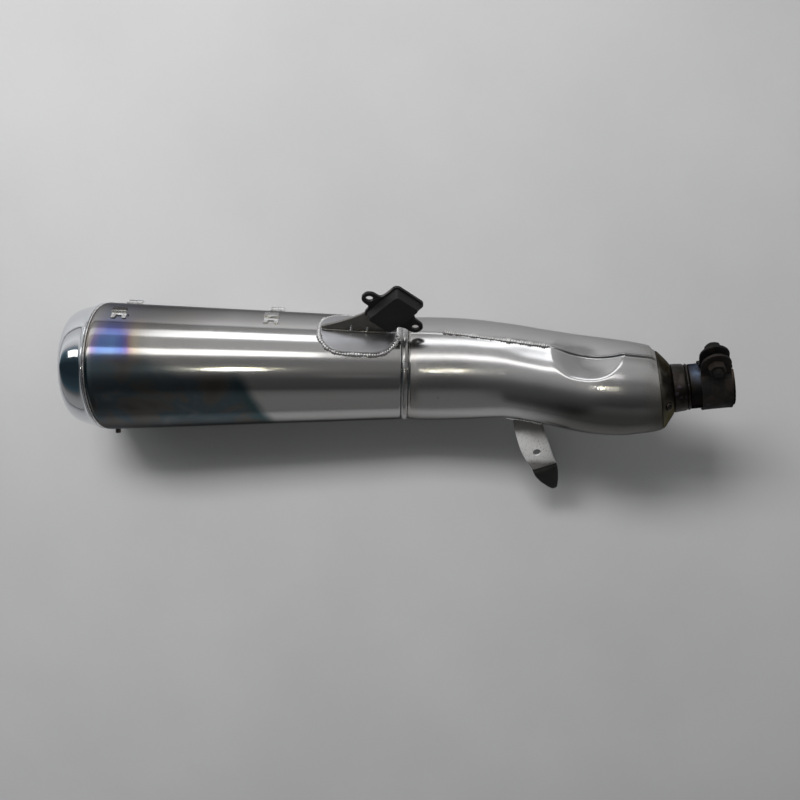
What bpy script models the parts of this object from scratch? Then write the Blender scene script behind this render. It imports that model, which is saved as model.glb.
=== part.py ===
"""Motorcycle exhaust silencer: tapered barrel, polished rear cap, two-shell front chamber,
inlet socket with a bolted clamp, hanger bracket, centre-stand stop and inner chambers.

Working dimensions are millimetres; meshes are written in metres.
Axes: +X towards the inlet, +Y across, +Z up. The barrel lies on z = 0 along its lowest line.
"""
import bpy
import bmesh
import math
from mathutils import Vector, Matrix

MM = 0.001
GAP = 0.3                      # clearance between neighbouring pieces

# ---- position of the whole part: box centre over the origin -------------------------------
SHIFT_X = 9.231
SHIFT_Y = 20.58
SHIFT_Z = 1.304                  # the joint band stands this far proud of the barrel and touches z = 0

# ---- barrel -------------------------------------------------------------------------------
BARREL_R0 = 50.5               # outer radius at the joint band (x = 0)
BARREL_TAPER = 0.0408          # radius gained per mm towards the rear
AXIS_RISE = 0.03628            # the axis climbs to the rear, where the barrel is wider
BARREL_FRONT_X = -3.4
BARREL_REAR_X = -291.6
SHEET = 1.2
SEGS = 48

# ---- rear cap -----------------------------------------------------------------------------
CAP_FRONT_X = -294.0
CAP_REAR_X = -320.8
OUTLET_R = 47.0                # opening inside the rolled rim

# ---- front chamber: centre line stations (x, y, z, outer radius) --------------------------
FRONT_STATIONS = [
    (3.4, 0.0, 50.6, 50.4),
    (20.5, 0.3, 51.8, 51.2),
    (61.0, 1.3, 58.0, 49.6),
    (100.0, 1.4, 69.0, 45.9),
    (126.0, -1.3, 77.0, 45.0),
    (149.0, -4.1, 84.5, 45.2),
    (179.4, -7.6, 93.8, 45.9),
    (202.3, -8.9, 100.4, 44.6),
    (216.3, -8.9, 104.0, 42.6),
    (228.4, -8.9, 107.1, 39.8),
    (236.0, -8.6, 109.1, 36.6),
]
SEAM_ANGLE = 52.0              # degrees from +Z towards +Y
SHELL_T = 1.5

# ---- inlet axis ---------------------------------------------------------------------------
INLET_BASE = (236.0, -8.6, 109.1)
INLET_END = (296.6, 1.5, 124.1)
SOCKET_R = 20.6
SOCKET_BORE_R = 19.0
COLLAR_R = 22.3

# ---- clamp --------------------------------------------------------------------------------
CLAMP_WIDTH = 26.0
CLAMP_R_IN = 20.95
CLAMP_T = 1.8
CLAMP_EAR_ANGLE = 48.0         # direction in which the ears stand, from +Z towards +Y
EAR_GAP = 8.0
EAR_T = 2.6
EAR_R = 12.8
BOLT_RHO = 33.2                # distance of the bolt from the socket axis
BOLT_R = 4.0
BOLT_HOLE_R = 4.5
HEAD_AF = 13.0
HEAD_H = 7.0

# ---- hanger -------------------------------------------------------------------------------
HANGER_ANGLE = 47.0            # radial plane of the stay, from +Z towards +Y
EAR_HOLE_HALF_PITCH = 27.9
EAR_HOLE_R = 3.3

# ---- materials ----------------------------------------------------------------------------
def material(name, color, rough, metal):
    m = bpy.data.materials.new(name)
    m.use_nodes = True
    b = m.node_tree.nodes["Principled BSDF"]
    b.inputs["Base Color"].default_value = (*color, 1.0)
    b.inputs["Roughness"].default_value = rough
    b.inputs["Metallic"].default_value = metal
    m.diffuse_color = (*color, 1.0)
    return m


MATERIAL_DATA = {
    "polished_steel": ((0.72, 0.72, 0.74), 0.22, 1.0),
    "barrel_steel": ((0.62, 0.62, 0.64), 0.30, 1.0),
    "chrome_trim": ((0.80, 0.81, 0.84), 0.10, 1.0),
    "weld_steel": ((0.48, 0.46, 0.44), 0.45, 1.0),
    "inlet_steel": ((0.16, 0.12, 0.10), 0.55, 0.7),
    "clamp_steel": ((0.07, 0.055, 0.05), 0.65, 0.5),
    "black_paint": ((0.02, 0.02, 0.022), 0.45, 0.0),
    "stop_plate": ((0.66, 0.65, 0.63), 0.35, 1.0),
    "stop_rubber": ((0.015, 0.015, 0.015), 0.75, 0.0),
    "inner_steel": ((0.30, 0.27, 0.25), 0.60, 0.8),
    "gasket_graphite": ((0.08, 0.08, 0.085), 0.70, 0.3),
}


def clear_scene():
    for o in list(bpy.data.objects):
        bpy.data.objects.remove(o, do_unlink=True)


def vec(x, y, z):
    """A design point in mm, moved to the part's own frame."""
    return Vector((x + SHIFT_X, y + SHIFT_Y, z + SHIFT_Z))


MATS = {}
ROOTS = {}


def finish_bm(bm, name, mat, origin=None, parent=None, smooth=30.0):
    bmesh.ops.remove_doubles(bm, verts=bm.verts, dist=0.002)
    bmesh.ops.recalc_face_normals(bm, faces=bm.faces)
    if bm.calc_volume(signed=True) < 0:
        bmesh.ops.reverse_faces(bm, faces=bm.faces)
    o_mm = Vector(origin) if origin is not None else Vector((0, 0, 0))
    bm.transform(Matrix.Scale(MM, 4) @ Matrix.Translation(-o_mm))
    me = bpy.data.meshes.new(name)
    bm.to_mesh(me)
    bm.free()
    me.materials.append(MATS[mat])
    me.shade_smooth()
    me.set_sharp_from_angle(angle=math.radians(smooth))
    ob = bpy.data.objects.new(name, me)
    bpy.context.scene.collection.objects.link(ob)
    ob.location = o_mm * MM
    if parent is not None:
        ob.parent = parent
        ob.location = o_mm * MM - parent.location
    return ob


def empty(name, at_mm):
    e = bpy.data.objects.new(name, None)
    e.empty_display_size = 0.02
    bpy.context.scene.collection.objects.link(e)
    e.location = Vector(at_mm) * MM
    return e


class Frame:
    """Right-handed frame: t along the axis, b towards +Y, n = t x b upwards."""

    def __init__(self, origin, t):
        self.o = Vector(origin)
        self.t = Vector(t).normalized()
        y = Vector((0, 1, 0))
        self.b = (y - self.t * y.dot(self.t)).normalized()
        self.n = self.t.cross(self.b).normalized()

    def at(self, s, r, psi):
        a = math.radians(psi)
        return self.o + self.t * s + (self.n * math.cos(a) + self.b * math.sin(a)) * r

    def radial(self, psi):
        a = math.radians(psi)
        return self.n * math.cos(a) + self.b * math.sin(a)


def torus_bm(loops, close=True):
    """Solid from a ring of equal closed loops; or capped at both ends."""
    bm = bmesh.new()
    rows = [[bm.verts.new(p) for p in loop] for loop in loops]
    n = len(rows[0])
    pairs = list(zip(rows, rows[1:]))
    if close:
        pairs.append((rows[-1], rows[0]))
    for a, b in pairs:
        for i in range(n):
            j = (i + 1) % n
            bm.faces.new((a[i], a[j], b[j], b[i]))
    if not close:
        bm.faces.new(rows[0][::-1])
        bm.faces.new(rows[-1])
    return bm


def revolve(frame, profile, segs=SEGS, psi0=0.0):
    """Closed (s, r) profile turned about the frame's axis."""
    loops = []
    for k in range(segs):
        psi = psi0 + 360.0 * k / segs
        loops.append([frame.at(s, r, psi) for s, r in profile])
    return torus_bm(loops)


def tube_profile(s0, s1, r_out, r_in):
    return [(s0, r_in), (s0, r_out), (s1, r_out), (s1, r_in)]


def tube_along(points, radius, sides, closed):
    """Round bead of constant radius along a list of points."""
    m = len(points)
    loops = []
    prev_n = None
    for i, p in enumerate(points):
        if closed:
            t = (points[(i + 1) % m] - points[i - 1]).normalized()
        else:
            t = (points[min(i + 1, m - 1)] - points[max(i - 1, 0)]).normalized()
        if prev_n is None:
            ref = Vector((0, 0, 1)) if abs(t.z) < 0.9 else Vector((1, 0, 0))
            nrm = (ref - t * ref.dot(t)).normalized()
        else:
            nrm = (prev_n - t * prev_n.dot(t)).normalized()
        prev_n = nrm
        b = t.cross(nrm)
        loops.append([p + (nrm * math.cos(a) + b * math.sin(a)) * radius
                      for a in [2 * math.pi * k / sides for k in range(sides)]])
    if closed:
        # the last loop is turned to line up with the first
        best, shift = None, 0
        for s in range(sides):
            d = sum((loops[-1][(k + s) % sides] - loops[0][k]).length for k in range(sides))
            if best is None or d < best:
                best, shift = d, s
        loops[-1] = [loops[-1][(k + shift) % sides] for k in range(sides)]
    return torus_bm(loops, close=closed)


def prism(outline, u, v, w, origin, w0, w1):
    """Polygon (list of (a, b)) in the plane u, v, extruded along w from w0 to w1."""
    o = Vector(origin)
    lo = [o + u * a + v * b + w * w0 for a, b in outline]
    hi = [o + u * a + v * b + w * w1 for a, b in outline]
    return torus_bm([lo, hi], close=False)


def cutter(bm, name):
    bmesh.ops.recalc_face_normals(bm, faces=bm.faces)
    if bm.calc_volume(signed=True) < 0:
        bmesh.ops.reverse_faces(bm, faces=bm.faces)
    bm.transform(Matrix.Scale(MM, 4))
    me = bpy.data.meshes.new(name)
    bm.to_mesh(me)
    bm.free()
    ob = bpy.data.objects.new(name, me)
    bpy.context.scene.collection.objects.link(ob)
    ob.hide_render = True
    ob.display_type = "WIRE"
    return ob


def boolean(target, tool, operation="DIFFERENCE"):
    m = target.modifiers.new("bool_" + tool.name, "BOOLEAN")
    m.operation = operation
    m.object = tool
    m.solver = "EXACT"
    return m


def rod_bm(p0, axis, length, radius, sides, phase=0.0):
    f = Vector(axis).normalized()
    ref = Vector((0, 0, 1)) if abs(f.z) < 0.9 else Vector((1, 0, 0))
    a = (ref - f * ref.dot(f)).normalized()
    b = f.cross(a)
    loops = []
    for s in (0.0, length):
        loops.append([Vector(p0) + f * s + (a * math.cos(q) + b * math.sin(q)) * radius
                      for q in [phase + 2 * math.pi * k / sides for k in range(sides)]])
    return torus_bm(loops, close=False)


# ---- centre line of the front chamber -----------------------------------------------------
def catmull(values, knots, x):
    n = len(knots)
    i = 0
    while i < n - 2 and x > knots[i + 1]:
        i += 1
    h = knots[i + 1] - knots[i]
    u = (x - knots[i]) / h

    def slope(k):
        if k == 0:
            return (values[1] - values[0]) / (knots[1] - knots[0])
        if k == n - 1:
            return (values[-1] - values[-2]) / (knots[-1] - knots[-2])
        return (values[k + 1] - values[k - 1]) / (knots[k + 1] - knots[k - 1])

    m0, m1 = slope(i) * h, slope(i + 1) * h
    return ((2 * u ** 3 - 3 * u ** 2 + 1) * values[i] + (u ** 3 - 2 * u ** 2 + u) * m0
            + (-2 * u ** 3 + 3 * u ** 2) * values[i + 1] + (u ** 3 - u ** 2) * m1)


KX = [s[0] for s in FRONT_STATIONS]


def front_centre(x):
    y = catmull([s[1] for s in FRONT_STATIONS], KX, x)
    z = catmull([s[2] for s in FRONT_STATIONS], KX, x)
    return vec(x, y, z)


def front_radius(x):
    return catmull([s[3] for s in FRONT_STATIONS], KX, x)


def front_frame(x):
    h = 1.5
    a, b = max(x - h, KX[0]), min(x + h, KX[-1])
    t = front_centre(b) - front_centre(a)
    if x <= KX[0] + 2.0:
        t = Vector((1, 0, 0))
    if x >= KX[-1] - 2.0:
        t = vec(*INLET_END) - vec(*INLET_BASE)
    return Frame(front_centre(x), t)


def barrel_radius(x):
    return BARREL_R0 - BARREL_TAPER * x


def axis_z(x):
    return BARREL_R0 - AXIS_RISE * x


def barrel_point(x, r_extra, psi):
    """Point at height r_extra above the barrel's skin."""
    r = barrel_radius(x)
    a = math.radians(psi)
    return vec(x, (r + r_extra) * math.sin(a), axis_z(x) + (r + r_extra) * math.cos(a))


def barrel_loop(profile, segs=SEGS, psi0=0.0):
    """Ring about the barrel's axis, which rises with the taper; profile gives (x, dr)."""
    loops = []
    for k in range(segs):
        loops.append([barrel_point(x, dr, psi0 + 360.0 * k / segs) for x, dr in profile])
    return torus_bm(loops)


# ===========================================================================================
def build_barrel():
    t = SHEET
    prof = [(BARREL_FRONT_X, -t), (BARREL_FRONT_X, 0.0), (-288.6, 0.0),
            (-290.6, -0.5), (BARREL_REAR_X, -1.4), (BARREL_REAR_X, -1.4 - t), (-288.6, -t)]
    finish_bm(barrel_loop(prof), "rear_shell", "barrel_steel")

    # bead in the joint between barrel and rear cap
    prof = [(-291.9, -3.0), (-291.9, -1.4), (-292.8, -0.9), (-293.7, -1.6), (-293.7, -3.0)]
    finish_bm(barrel_loop(prof), "rear_cap_seam_bead", "weld_steel")

    # polished conical cap, rolled in at the rear
    outer = [(CAP_FRONT_X, -2.0), (-305.0, -4.6), (-314.6, -8.2), (-319.4, -12.0),
             (CAP_REAR_X, -15.0), (-319.6, -16.4)]
    inner = [(-317.6, -16.4), (-317.8, -14.4), (-313.4, -10.0), (-304.2, -6.4), (CAP_FRONT_X, -3.8)]
    finish_bm(barrel_loop(outer + inner), "rear_cap", "chrome_trim")

    # raised joint band between barrel and front chamber
    f = Frame(vec(0, 0, BARREL_R0), (1, 0, 0))
    prof = [(-3.0, 49.2), (-3.0, 50.8), (-1.4, 51.8), (1.4, 51.8), (3.0, 50.8), (3.0, 49.2)]
    finish_bm(revolve(f, prof), "mid_joint_band", "weld_steel")


def half_shell(name, psi_a, psi_b, lip_sign):
    xs = [3.4, 14.0, 28.0, 44.0, 60.0, 78.0, 96.0, 114.0, 132.0, 150.0, 168.0, 186.0, 202.0,
          214.0, 223.0, 230.0, 235.2]
    arcs = 17
    loops = []
    for x in xs:
        fr, r = front_frame(x), front_radius(x)
        if x < 140:
            lip = 0.5
        elif x < 160:
            lip = 0.5 + 2.3 * (x - 140) / 20.0
        else:
            lip = 2.8 if x < 230 else 1.2
        d = math.degrees(0.16 / r)
        dl = math.degrees((0.16 + 1.1) / r)
        a, b = psi_a + d, psi_b - d
        ring = [fr.at(0, r + lip, a), fr.at(0, r + lip, a - d + dl)]
        ring += [fr.at(0, r, (psi_a + dl) + (psi_b - psi_a - 2 * dl) * k / arcs) for k in range(arcs + 1)]
        ring += [fr.at(0, r + lip, b + d - dl), fr.at(0, r + lip, b)]
        ring += [fr.at(0, r - SHELL_T, b - (b - a) * k / arcs) for k in range(arcs + 1)]
        loops.append(ring)
    finish_bm(torus_bm(loops, close=False), name, "polished_steel")


def bead_on_front(name, psi, x0, x1, lift, radius, count, sides=6):
    pts = []
    for k in range(count):
        x = x0 + (x1 - x0) * k / (count - 1)
        fr, r = front_frame(x), front_radius(x)
        pts.append(fr.at(0, r + lift, psi))
    finish_bm(tube_along(pts, radius, sides, False), name, "weld_steel", smooth=60)


def build_front():
    half_shell("front_shell_inboard", SEAM_ANGLE - 180.0, SEAM_ANGLE, 1)
    half_shell("front_shell_outboard", SEAM_ANGLE, SEAM_ANGLE + 180.0, -1)
    bead_on_front("front_seam_weld_top", SEAM_ANGLE, 42.0, 138.0, 0.5 + 0.35 + 1.3, 1.3, 12)
    bead_on_front("front_seam_weld_under", SEAM_ANGLE + 180.0, 42.0, 138.0, 0.5 + 0.35 + 1.3, 1.3, 12)

    f = Frame(vec(*INLET_BASE), vec(*INLET_END) - vec(*INLET_BASE))
    # end cone between the shells and the collar
    prof = [(-0.2, 36.2), (1.0, 35.8), (2.6, 34.2), (11.2, 22.6),
            (11.2, 20.8), (1.2, 33.2), (-0.2, 34.6)]
    finish_bm(revolve(f, prof), "front_end_cone", "polished_steel")
    prof = [(11.5, 19.6), (11.5, COLLAR_R), (22.6, 21.3), (23.2, 20.8), (23.2, 19.6)]
    finish_bm(revolve(f, prof, 40), "inlet_collar", "inlet_steel")
    prof = [(23.5, 19.4), (23.5, 21.0), (24.7, 21.7), (25.9, 21.0), (25.9, 19.4)]
    finish_bm(revolve(f, prof, 40), "inlet_weld_bead", "weld_steel")

    length = (vec(*INLET_END) - vec(*INLET_BASE)).length
    prof = [(26.2, SOCKET_BORE_R), (26.2, SOCKET_R), (length - 0.8, SOCKET_R),
            (length, SOCKET_R - 0.5), (length, SOCKET_BORE_R)]
    pipe = finish_bm(revolve(f, prof, 40), "inlet_pipe", "inlet_steel")
    # two slots let the clamp close the socket
    for k, psi in enumerate((CLAMP_EAR_ANGLE, CLAMP_EAR_ANGLE + 180.0)):
        e = f.radial(psi)
        side = f.t.cross(e)
        box = prism([(length - 21.0, -1.1), (length + 2.0, -1.1), (length + 2.0, 1.1), (length - 21.0, 1.1)],
                    f.t, side, e, f.o, 15.0, 24.0)
        boolean(pipe, cutter(box, "cut_slot_%d" % k))

    # graphite ring that slides out of the socket
    g0 = length - 25.0
    prof = [(g0, 17.0), (g0, 18.7), (length - 3.0, 18.7), (length - 3.0, 17.0)]
    at = f.o + f.t * (length - 14.0)
    par = empty("gasket_origin", at)
    finish_bm(revolve(f, prof, 32), "inlet_gasket", "gasket_graphite", origin=at, parent=par)

    # core pipe behind the socket, opening into the front chamber
    prof = tube_profile(-58.0, 25.6, 18.9, 17.4)
    finish_bm(revolve(f, prof, 28), "inlet_core_pipe", "inner_steel")

    # plate across the chamber that carries the core pipe
    fr = front_frame(198.0)
    r = front_radius(198.0) - SHELL_T - 1.0
    blank = torus_bm([[fr.at(s, r, 360.0 * k / 36) for k in range(36)] for s in (-0.8, 0.8)], close=False)
    plate = finish_bm(blank, "front_baffle", "inner_steel")
    boolean(plate, cutter(rod_bm(f.o + f.t * -70.0, f.t, 60.0, 19.3, 28), "cut_front_baffle"))

    # small collar around the condensate hole in the end cone
    c = Frame(f.at(5.2, 30.65, -22.0), f.radial(-22.0) * 0.595 + f.t * 0.804)
    prof = [(0.35, 1.9), (0.35, 3.6), (1.3, 3.8), (2.0, 3.3), (2.0, 1.9)]
    finish_bm(revolve(c, prof, 12), "front_drain_collar", "weld_steel")
    return f, length


def build_clamp(f, length):
    s0 = length - 2.0 - CLAMP_WIDTH
    s1 = length - 2.0
    sc = (s0 + s1) / 2
    centre = f.o + f.t * sc
    root = empty("clamp_origin", centre)
    er = f.radial(CLAMP_EAR_ANGLE)                       # ears stand along er
    et = f.radial(CLAMP_EAR_ANGLE + 90.0)                # bolt lies along et
    r_mid = CLAMP_R_IN + CLAMP_T / 2
    half_gap = EAR_GAP / 2 + EAR_T / 2
    # strip outline: ear, band, ear. Each entry: point, outward normal, half width, half thickness
    strip = []
    rho_c = BOLT_RHO
    top = rho_c + EAR_R - 1.0
    ear_rhos = [top, top - 1.4, top - 4.0, top - 8.0, rho_c, rho_c - 4.0, 26.0]
    for rho in ear_rhos:
        if rho >= rho_c:
            hw = math.sqrt(max(EAR_R ** 2 - (rho - rho_c) ** 2, 3.0 ** 2))
        else:
            hw = min(EAR_R, CLAMP_WIDTH / 2 + 1.0)
        strip.append((er * rho + et * half_gap, et, hw, EAR_T / 2))
    a0 = math.degrees(math.asin((half_gap + 0.6) / r_mid))
    n = 22
    for k in range(n + 1):
        psi = CLAMP_EAR_ANGLE + a0 + (360.0 - 2 * a0) * k / n
        hw = CLAMP_WIDTH / 2
        strip.append((f.radial(psi) * r_mid, f.radial(psi), hw, CLAMP_T / 2))
    for rho in reversed(ear_rhos):
        if rho >= rho_c:
            hw = math.sqrt(max(EAR_R ** 2 - (rho - rho_c) ** 2, 3.0 ** 2))
        else:
            hw = min(EAR_R, CLAMP_WIDTH / 2 + 1.0)
        strip.append((er * rho - et * half_gap, -et, hw, EAR_T / 2))
    loops = []
    for p, nrm, hw, ht in strip:
        c = centre + p
        loops.append([c - f.t * hw - nrm * ht, c + f.t * hw - nrm * ht,
                      c + f.t * hw + nrm * ht, c - f.t * hw + nrm * ht])
    band = finish_bm(torus_bm(loops, close=False), "clamp_band", "clamp_steel", origin=centre, parent=root)
    hole = cutter(rod_bm(centre + er * rho_c - et * 14.0, et, 28.0, BOLT_HOLE_R, 20), "cut_clamp_hole")
    boolean(band, hole)

    bolt_c = centre + er * rho_c
    outer = EAR_GAP / 2 + EAR_T
    # captive nut on the far ear
    fn = Frame(bolt_c, et)
    hexr = HEAD_AF / 2 / math.cos(math.pi / 6)
    n0 = -(outer + GAP + 6.5)
    nut_loops = []
    for k in range(6):
        psi = 60.0 * k
        nut_loops.append([fn.at(n0, BOLT_HOLE_R - 0.15, psi), fn.at(n0, hexr, psi),
                          fn.at(n0 + 6.5, hexr, psi), fn.at(n0 + 6.5, BOLT_HOLE_R - 0.15, psi)])
    # the bore is round, so the nut is a hexagonal blank with a drilled hole
    blank = torus_bm([[fn.at(n0, hexr, 60.0 * k) for k in range(6)],
                      [fn.at(n0 + 6.5, hexr, 60.0 * k) for k in range(6)]], close=False)
    nut = finish_bm(blank, "clamp_nut", "clamp_steel", origin=bolt_c, parent=root)
    boolean(nut, cutter(rod_bm(bolt_c + et * (n0 - 2.0), et, 11.0, BOLT_HOLE_R - 0.2, 20), "cut_nut_bore"))

    w_root = empty("washer_origin", bolt_c)
    w0 = outer + GAP
    washer = finish_bm(revolve(fn, [(w0, BOLT_HOLE_R - 0.1), (w0, 8.0), (w0 + 1.6, 8.0), (w0 + 1.6, BOLT_HOLE_R - 0.1)], 24),
                       "clamp_washer", "clamp_steel", origin=bolt_c, parent=w_root)
    b_root = empty("bolt_origin", bolt_c)
    h0 = w0 + 1.6 + GAP
    tail = -(outer + GAP + 6.5 + 5.0)
    # shank, hexagonal head and its flange as one turned and forged piece
    shank = finish_bm(rod_bm(bolt_c + et * tail, et, h0 + 1.0 - tail, BOLT_R, 20), "clamp_bolt",
                      "clamp_steel", origin=bolt_c, parent=b_root)
    head = torus_bm([[fn.at(h0, hexr, 60.0 * k) for k in range(6)],
                     [fn.at(h0 + HEAD_H - 0.8, hexr, 60.0 * k) for k in range(6)],
                     [fn.at(h0 + HEAD_H, hexr - 1.0, 60.0 * k) for k in range(6)]], close=False)
    boolean(shank, cutter(head, "add_bolt_head"), "UNION")


def patch_loops(x_c, psi_c, half_x, half_arc, corner, nx):
    """Stations of an oblong patch on the barrel: x and half arc length at each."""
    out = []
    for k in range(nx + 1):
        u = -1.0 + 2.0 * k / nx
        u = math.sin(u * math.pi / 2)
        dx = u * half_x
        over = max(0.0, abs(dx) - (half_x - corner))
        w = half_arc - corner + math.sqrt(max(corner ** 2 - over ** 2, 0.0))
        if abs(abs(u) - 1.0) < 1e-6:
            w = max(half_arc - corner, 4.0)
        out.append((x_c + dx, w))
    return out


PAD_X, PAD_PSI, PAD_HALF_X, PAD_HALF_ARC, PAD_CORNER = -44.0, 50.0, 36.0, 25.0, 22.0


def build_hanger():
    # doubler pad, pressed to the barrel's curve
    loops = []
    na = 8
    for x, w in patch_loops(PAD_X, PAD_PSI, PAD_HALF_X, PAD_HALF_ARC, PAD_CORNER, 10):
        r = barrel_radius(x)
        da = math.degrees(w / r)
        top = [barrel_point(x, GAP + 1.5, PAD_PSI - da + 2 * da * k / na) for k in range(na + 1)]
        bot = [barrel_point(x, GAP, PAD_PSI + da - 2 * da * k / na) for k in range(na + 1)]
        loops.append(top + bot)
    finish_bm(torus_bm(loops, close=False), "hanger_pad", "polished_steel")

    # weld bead round the pad
    pts = []
    off = 1.7
    half_x, half_a, corner = PAD_HALF_X + off, PAD_HALF_ARC + off, PAD_CORNER + off
    m = 8
    for cx, ca, a0 in ((half_x - corner, half_a - corner, 0), (-(half_x - corner), half_a - corner, 90),
                       (-(half_x - corner), -(half_a - corner), 180), (half_x - corner, -(half_a - corner), 270)):
        for k in range(m):
            a = math.radians(a0 + 90.0 * k / (m - 1))
            x = PAD_X + cx + corner * math.cos(a)
            arc = ca + corner * math.sin(a)
            pts.append(barrel_point(x, GAP + 1.25, PAD_PSI + math.degrees(arc / barrel_radius(x))))
    finish_bm(tube_along(pts, 1.2, 6, True), "hanger_pad_weld", "weld_steel", smooth=60)

    # radial stay
    f = Frame(vec(0, 0, axis_z(-40.0)), (1, 0, 0))
    er = f.radial(HANGER_ANGLE)
    en = f.radial(HANGER_ANGLE - 90.0)                    # towards the side that carries the bracket
    base = lambda x: barrel_radius(x) + GAP + 1.5 + 0.45 + abs(x + 40.0) * 0.03
    outline = [(-79.0, base(-79)), (-62.0, base(-62)), (-44.0, base(-44)), (-26.0, base(-26)), (-8.0, base(-8)),
               (-7.0, 72.0), (-14.0, 84.0), (-30.0, 84.0), (-44.0, 73.5), (-62.0, 65.0), (-79.0, 59.0)]
    stay = prism(outline, Vector((1, 0, 0)), er, en, f.o, -2.9, -0.4)
    finish_bm(stay, "hanger_stay", "stop_plate")
    # weld along the stay's foot, on the side that faces outwards
    pts = [f.o + Vector((x, 0, 0)) + er * (base(x) + 1.0) + en * (-0.4 + 1.35) for x in (-76, -66, -56, -46, -40)]
    finish_bm(tube_along(pts, 0.95, 6, False), "hanger_stay_weld", "weld_steel", smooth=60)

    # black bracket: pressed box with two eared flanges
    c = f.o + Vector((-11.7, 0, 0)) + er * 82.4
    e1 = (Vector((1, 0, 0)) * 0.75 - er * 0.661).normalized()
    e2 = (Vector((1, 0, 0)) * 0.661 + er * 0.75).normalized()
    w = en
    plate = [(-34.6, -3.0), (-34.6, 3.0), (-32.5, 6.2), (-28.0, 7.2), (-22.0, 7.5), (-20.5, 12.0), (-20.5, 25.0),
             (-17.0, 28.5), (11.0, 28.5), (14.5, 25.5), (15.0, 12.0), (21.0, 7.5), (28.0, 7.2), (32.5, 6.2), (34.6, 3.0),
             (34.6, -3.0), (32.5, -6.2), (28.0, -7.2), (22.0, -7.5), (16.0, -10.0), (13.5, -16.5), (9.5, -18.5),
             (-16.0, -19.5), (-20.0, -16.5), (-20.5, -11.0), (-22.5, -7.5), (-28.0, -7.2), (-32.5, -6.2)]
    br = finish_bm(prism(plate, e1, e2, w, c, 0.0, 2.5), "hanger_bracket", "black_paint")

    def hexa(p0, p1, q0, q1, n0, n1, shrink):
        lo = [(p0, q0), (p1, q0), (p1, q1), (p0, q1)]
        hi = [(p0 + shrink, q0 + shrink), (p1 - shrink, q0 + shrink), (p1 - shrink, q1 - shrink), (p0 + shrink, q1 - shrink)]
        return torus_bm([[c + e1 * a + e2 * b + w * n0 for a, b in lo],
                         [c + e1 * a + e2 * b + w * n1 for a, b in hi]], close=False)

    boolean(br, cutter(hexa(-19.0, 12.5, -17.5, 27.0, 1.0, 11.0, 2.0), "add_bracket_box"), "UNION")
    boolean(br, cutter(hexa(-16.5, 10.0, -26.0, 24.5, -1.0, 8.6, 1.6), "cut_bracket_hollow"))
    for k, s in enumerate((-1, 1)):
        boolean(br, cutter(rod_bm(c + e1 * (EAR_HOLE_HALF_PITCH * s) - w * 4.0, w, 12.0, EAR_HOLE_R, 16), "cut_ear_%d" % k))


# stop plate stations: centre x, y, z, width, turn of the width line about +Z, its rise per mm
STOP = [
    (121.6, -46.6, 68.8, 30.0, -6.5, 0.28),
    (124.6, -57.5, 69.4, 31.0, -7.0, 0.22),
    (128.8, -69.0, 67.6, 32.0, -6.5, 0.12),
    (133.0, -80.0, 64.4, 31.5, -3.5, 0.04),
    (138.0, -89.2, 60.0, 29.0, 3.0, 0.0),
    (143.2, -96.8, 55.4, 25.0, 18.0, 0.0),
]


def build_stop():
    t = 2.6
    loops = []
    for i, (x, y, z, w, turn, rise) in enumerate(STOP):
        a = math.radians(turn)
        side = Vector((math.cos(a), math.sin(a), rise)).normalized()
        p = Vector(STOP[max(i - 1, 0)][:3])
        q = Vector(STOP[min(i + 1, len(STOP) - 1)][:3])
        run = (q - p).normalized()
        nrm = side.cross(run).normalized()
        if nrm.z < 0:
            nrm = -nrm
        c = vec(x, y, z)
        loops.append([c - side * (w / 2) - nrm * (t / 2), c + side * (w / 2) - nrm * (t / 2),
                      c + side * (w / 2) + nrm * (t / 2), c - side * (w / 2) + nrm * (t / 2)])
    plate = finish_bm(torus_bm(loops, close=False), "stand_stop_plate", "stop_plate")
    up = Vector((0.05, -0.28, 1.0)).normalized()
    boolean(plate, cutter(rod_bm(vec(133.3, -80.3, 64.3) - up * 8.0, up, 16.0, 4.0, 20), "cut_stop_hole"))

    # root weld along the underside of the chamber
    pts = []
    for k in range(9):
        x = 103.5 + 35.0 * k / 8
        fr, r = front_frame(x), front_radius(x)
        pts.append(fr.at(0, r + 1.8, -93.0))
    finish_bm(tube_along(pts, 1.4, 6, False), "stand_stop_weld", "weld_steel", smooth=60)

    # rubber buffer bonded to the end of the plate
    a = math.radians(20.0)
    side = Vector((math.cos(a), math.sin(a), 0))
    run = Vector((0.40, -0.78, -0.48)).normalized()
    nrm = side.cross(run).normalized()
    if nrm.z < 0:
        nrm = -nrm
    end = vec(143.2, -96.8, 55.4) + run * 0.6
    secs = [(0.0, 25.0, 9.5, -0.2), (7.0, 24.0, 10.5, -0.6), (16.0, 19.5, 10.0, -0.6), (25.0, 13.0, 8.6, 0.0), (33.0, 6.0, 6.6, 0.6)]
    loops = []
    for s, w, h, off in secs:
        c = end + run * (s + 0.5) + side * off
        ch = min(w, h) * 0.22
        loops.append([c + side * u + nrm * v for u, v in
                      ((-w / 2 + ch, -h / 2), (w / 2 - ch, -h / 2), (w / 2, -h / 2 + ch), (w / 2, h / 2 - ch),
                       (w / 2 - ch, h / 2), (-w / 2 + ch, h / 2), (-w / 2, h / 2 - ch), (-w / 2, -h / 2 + ch))])
    finish_bm(torus_bm(loops, close=False), "stand_stop_rubber", "stop_rubber")


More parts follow.
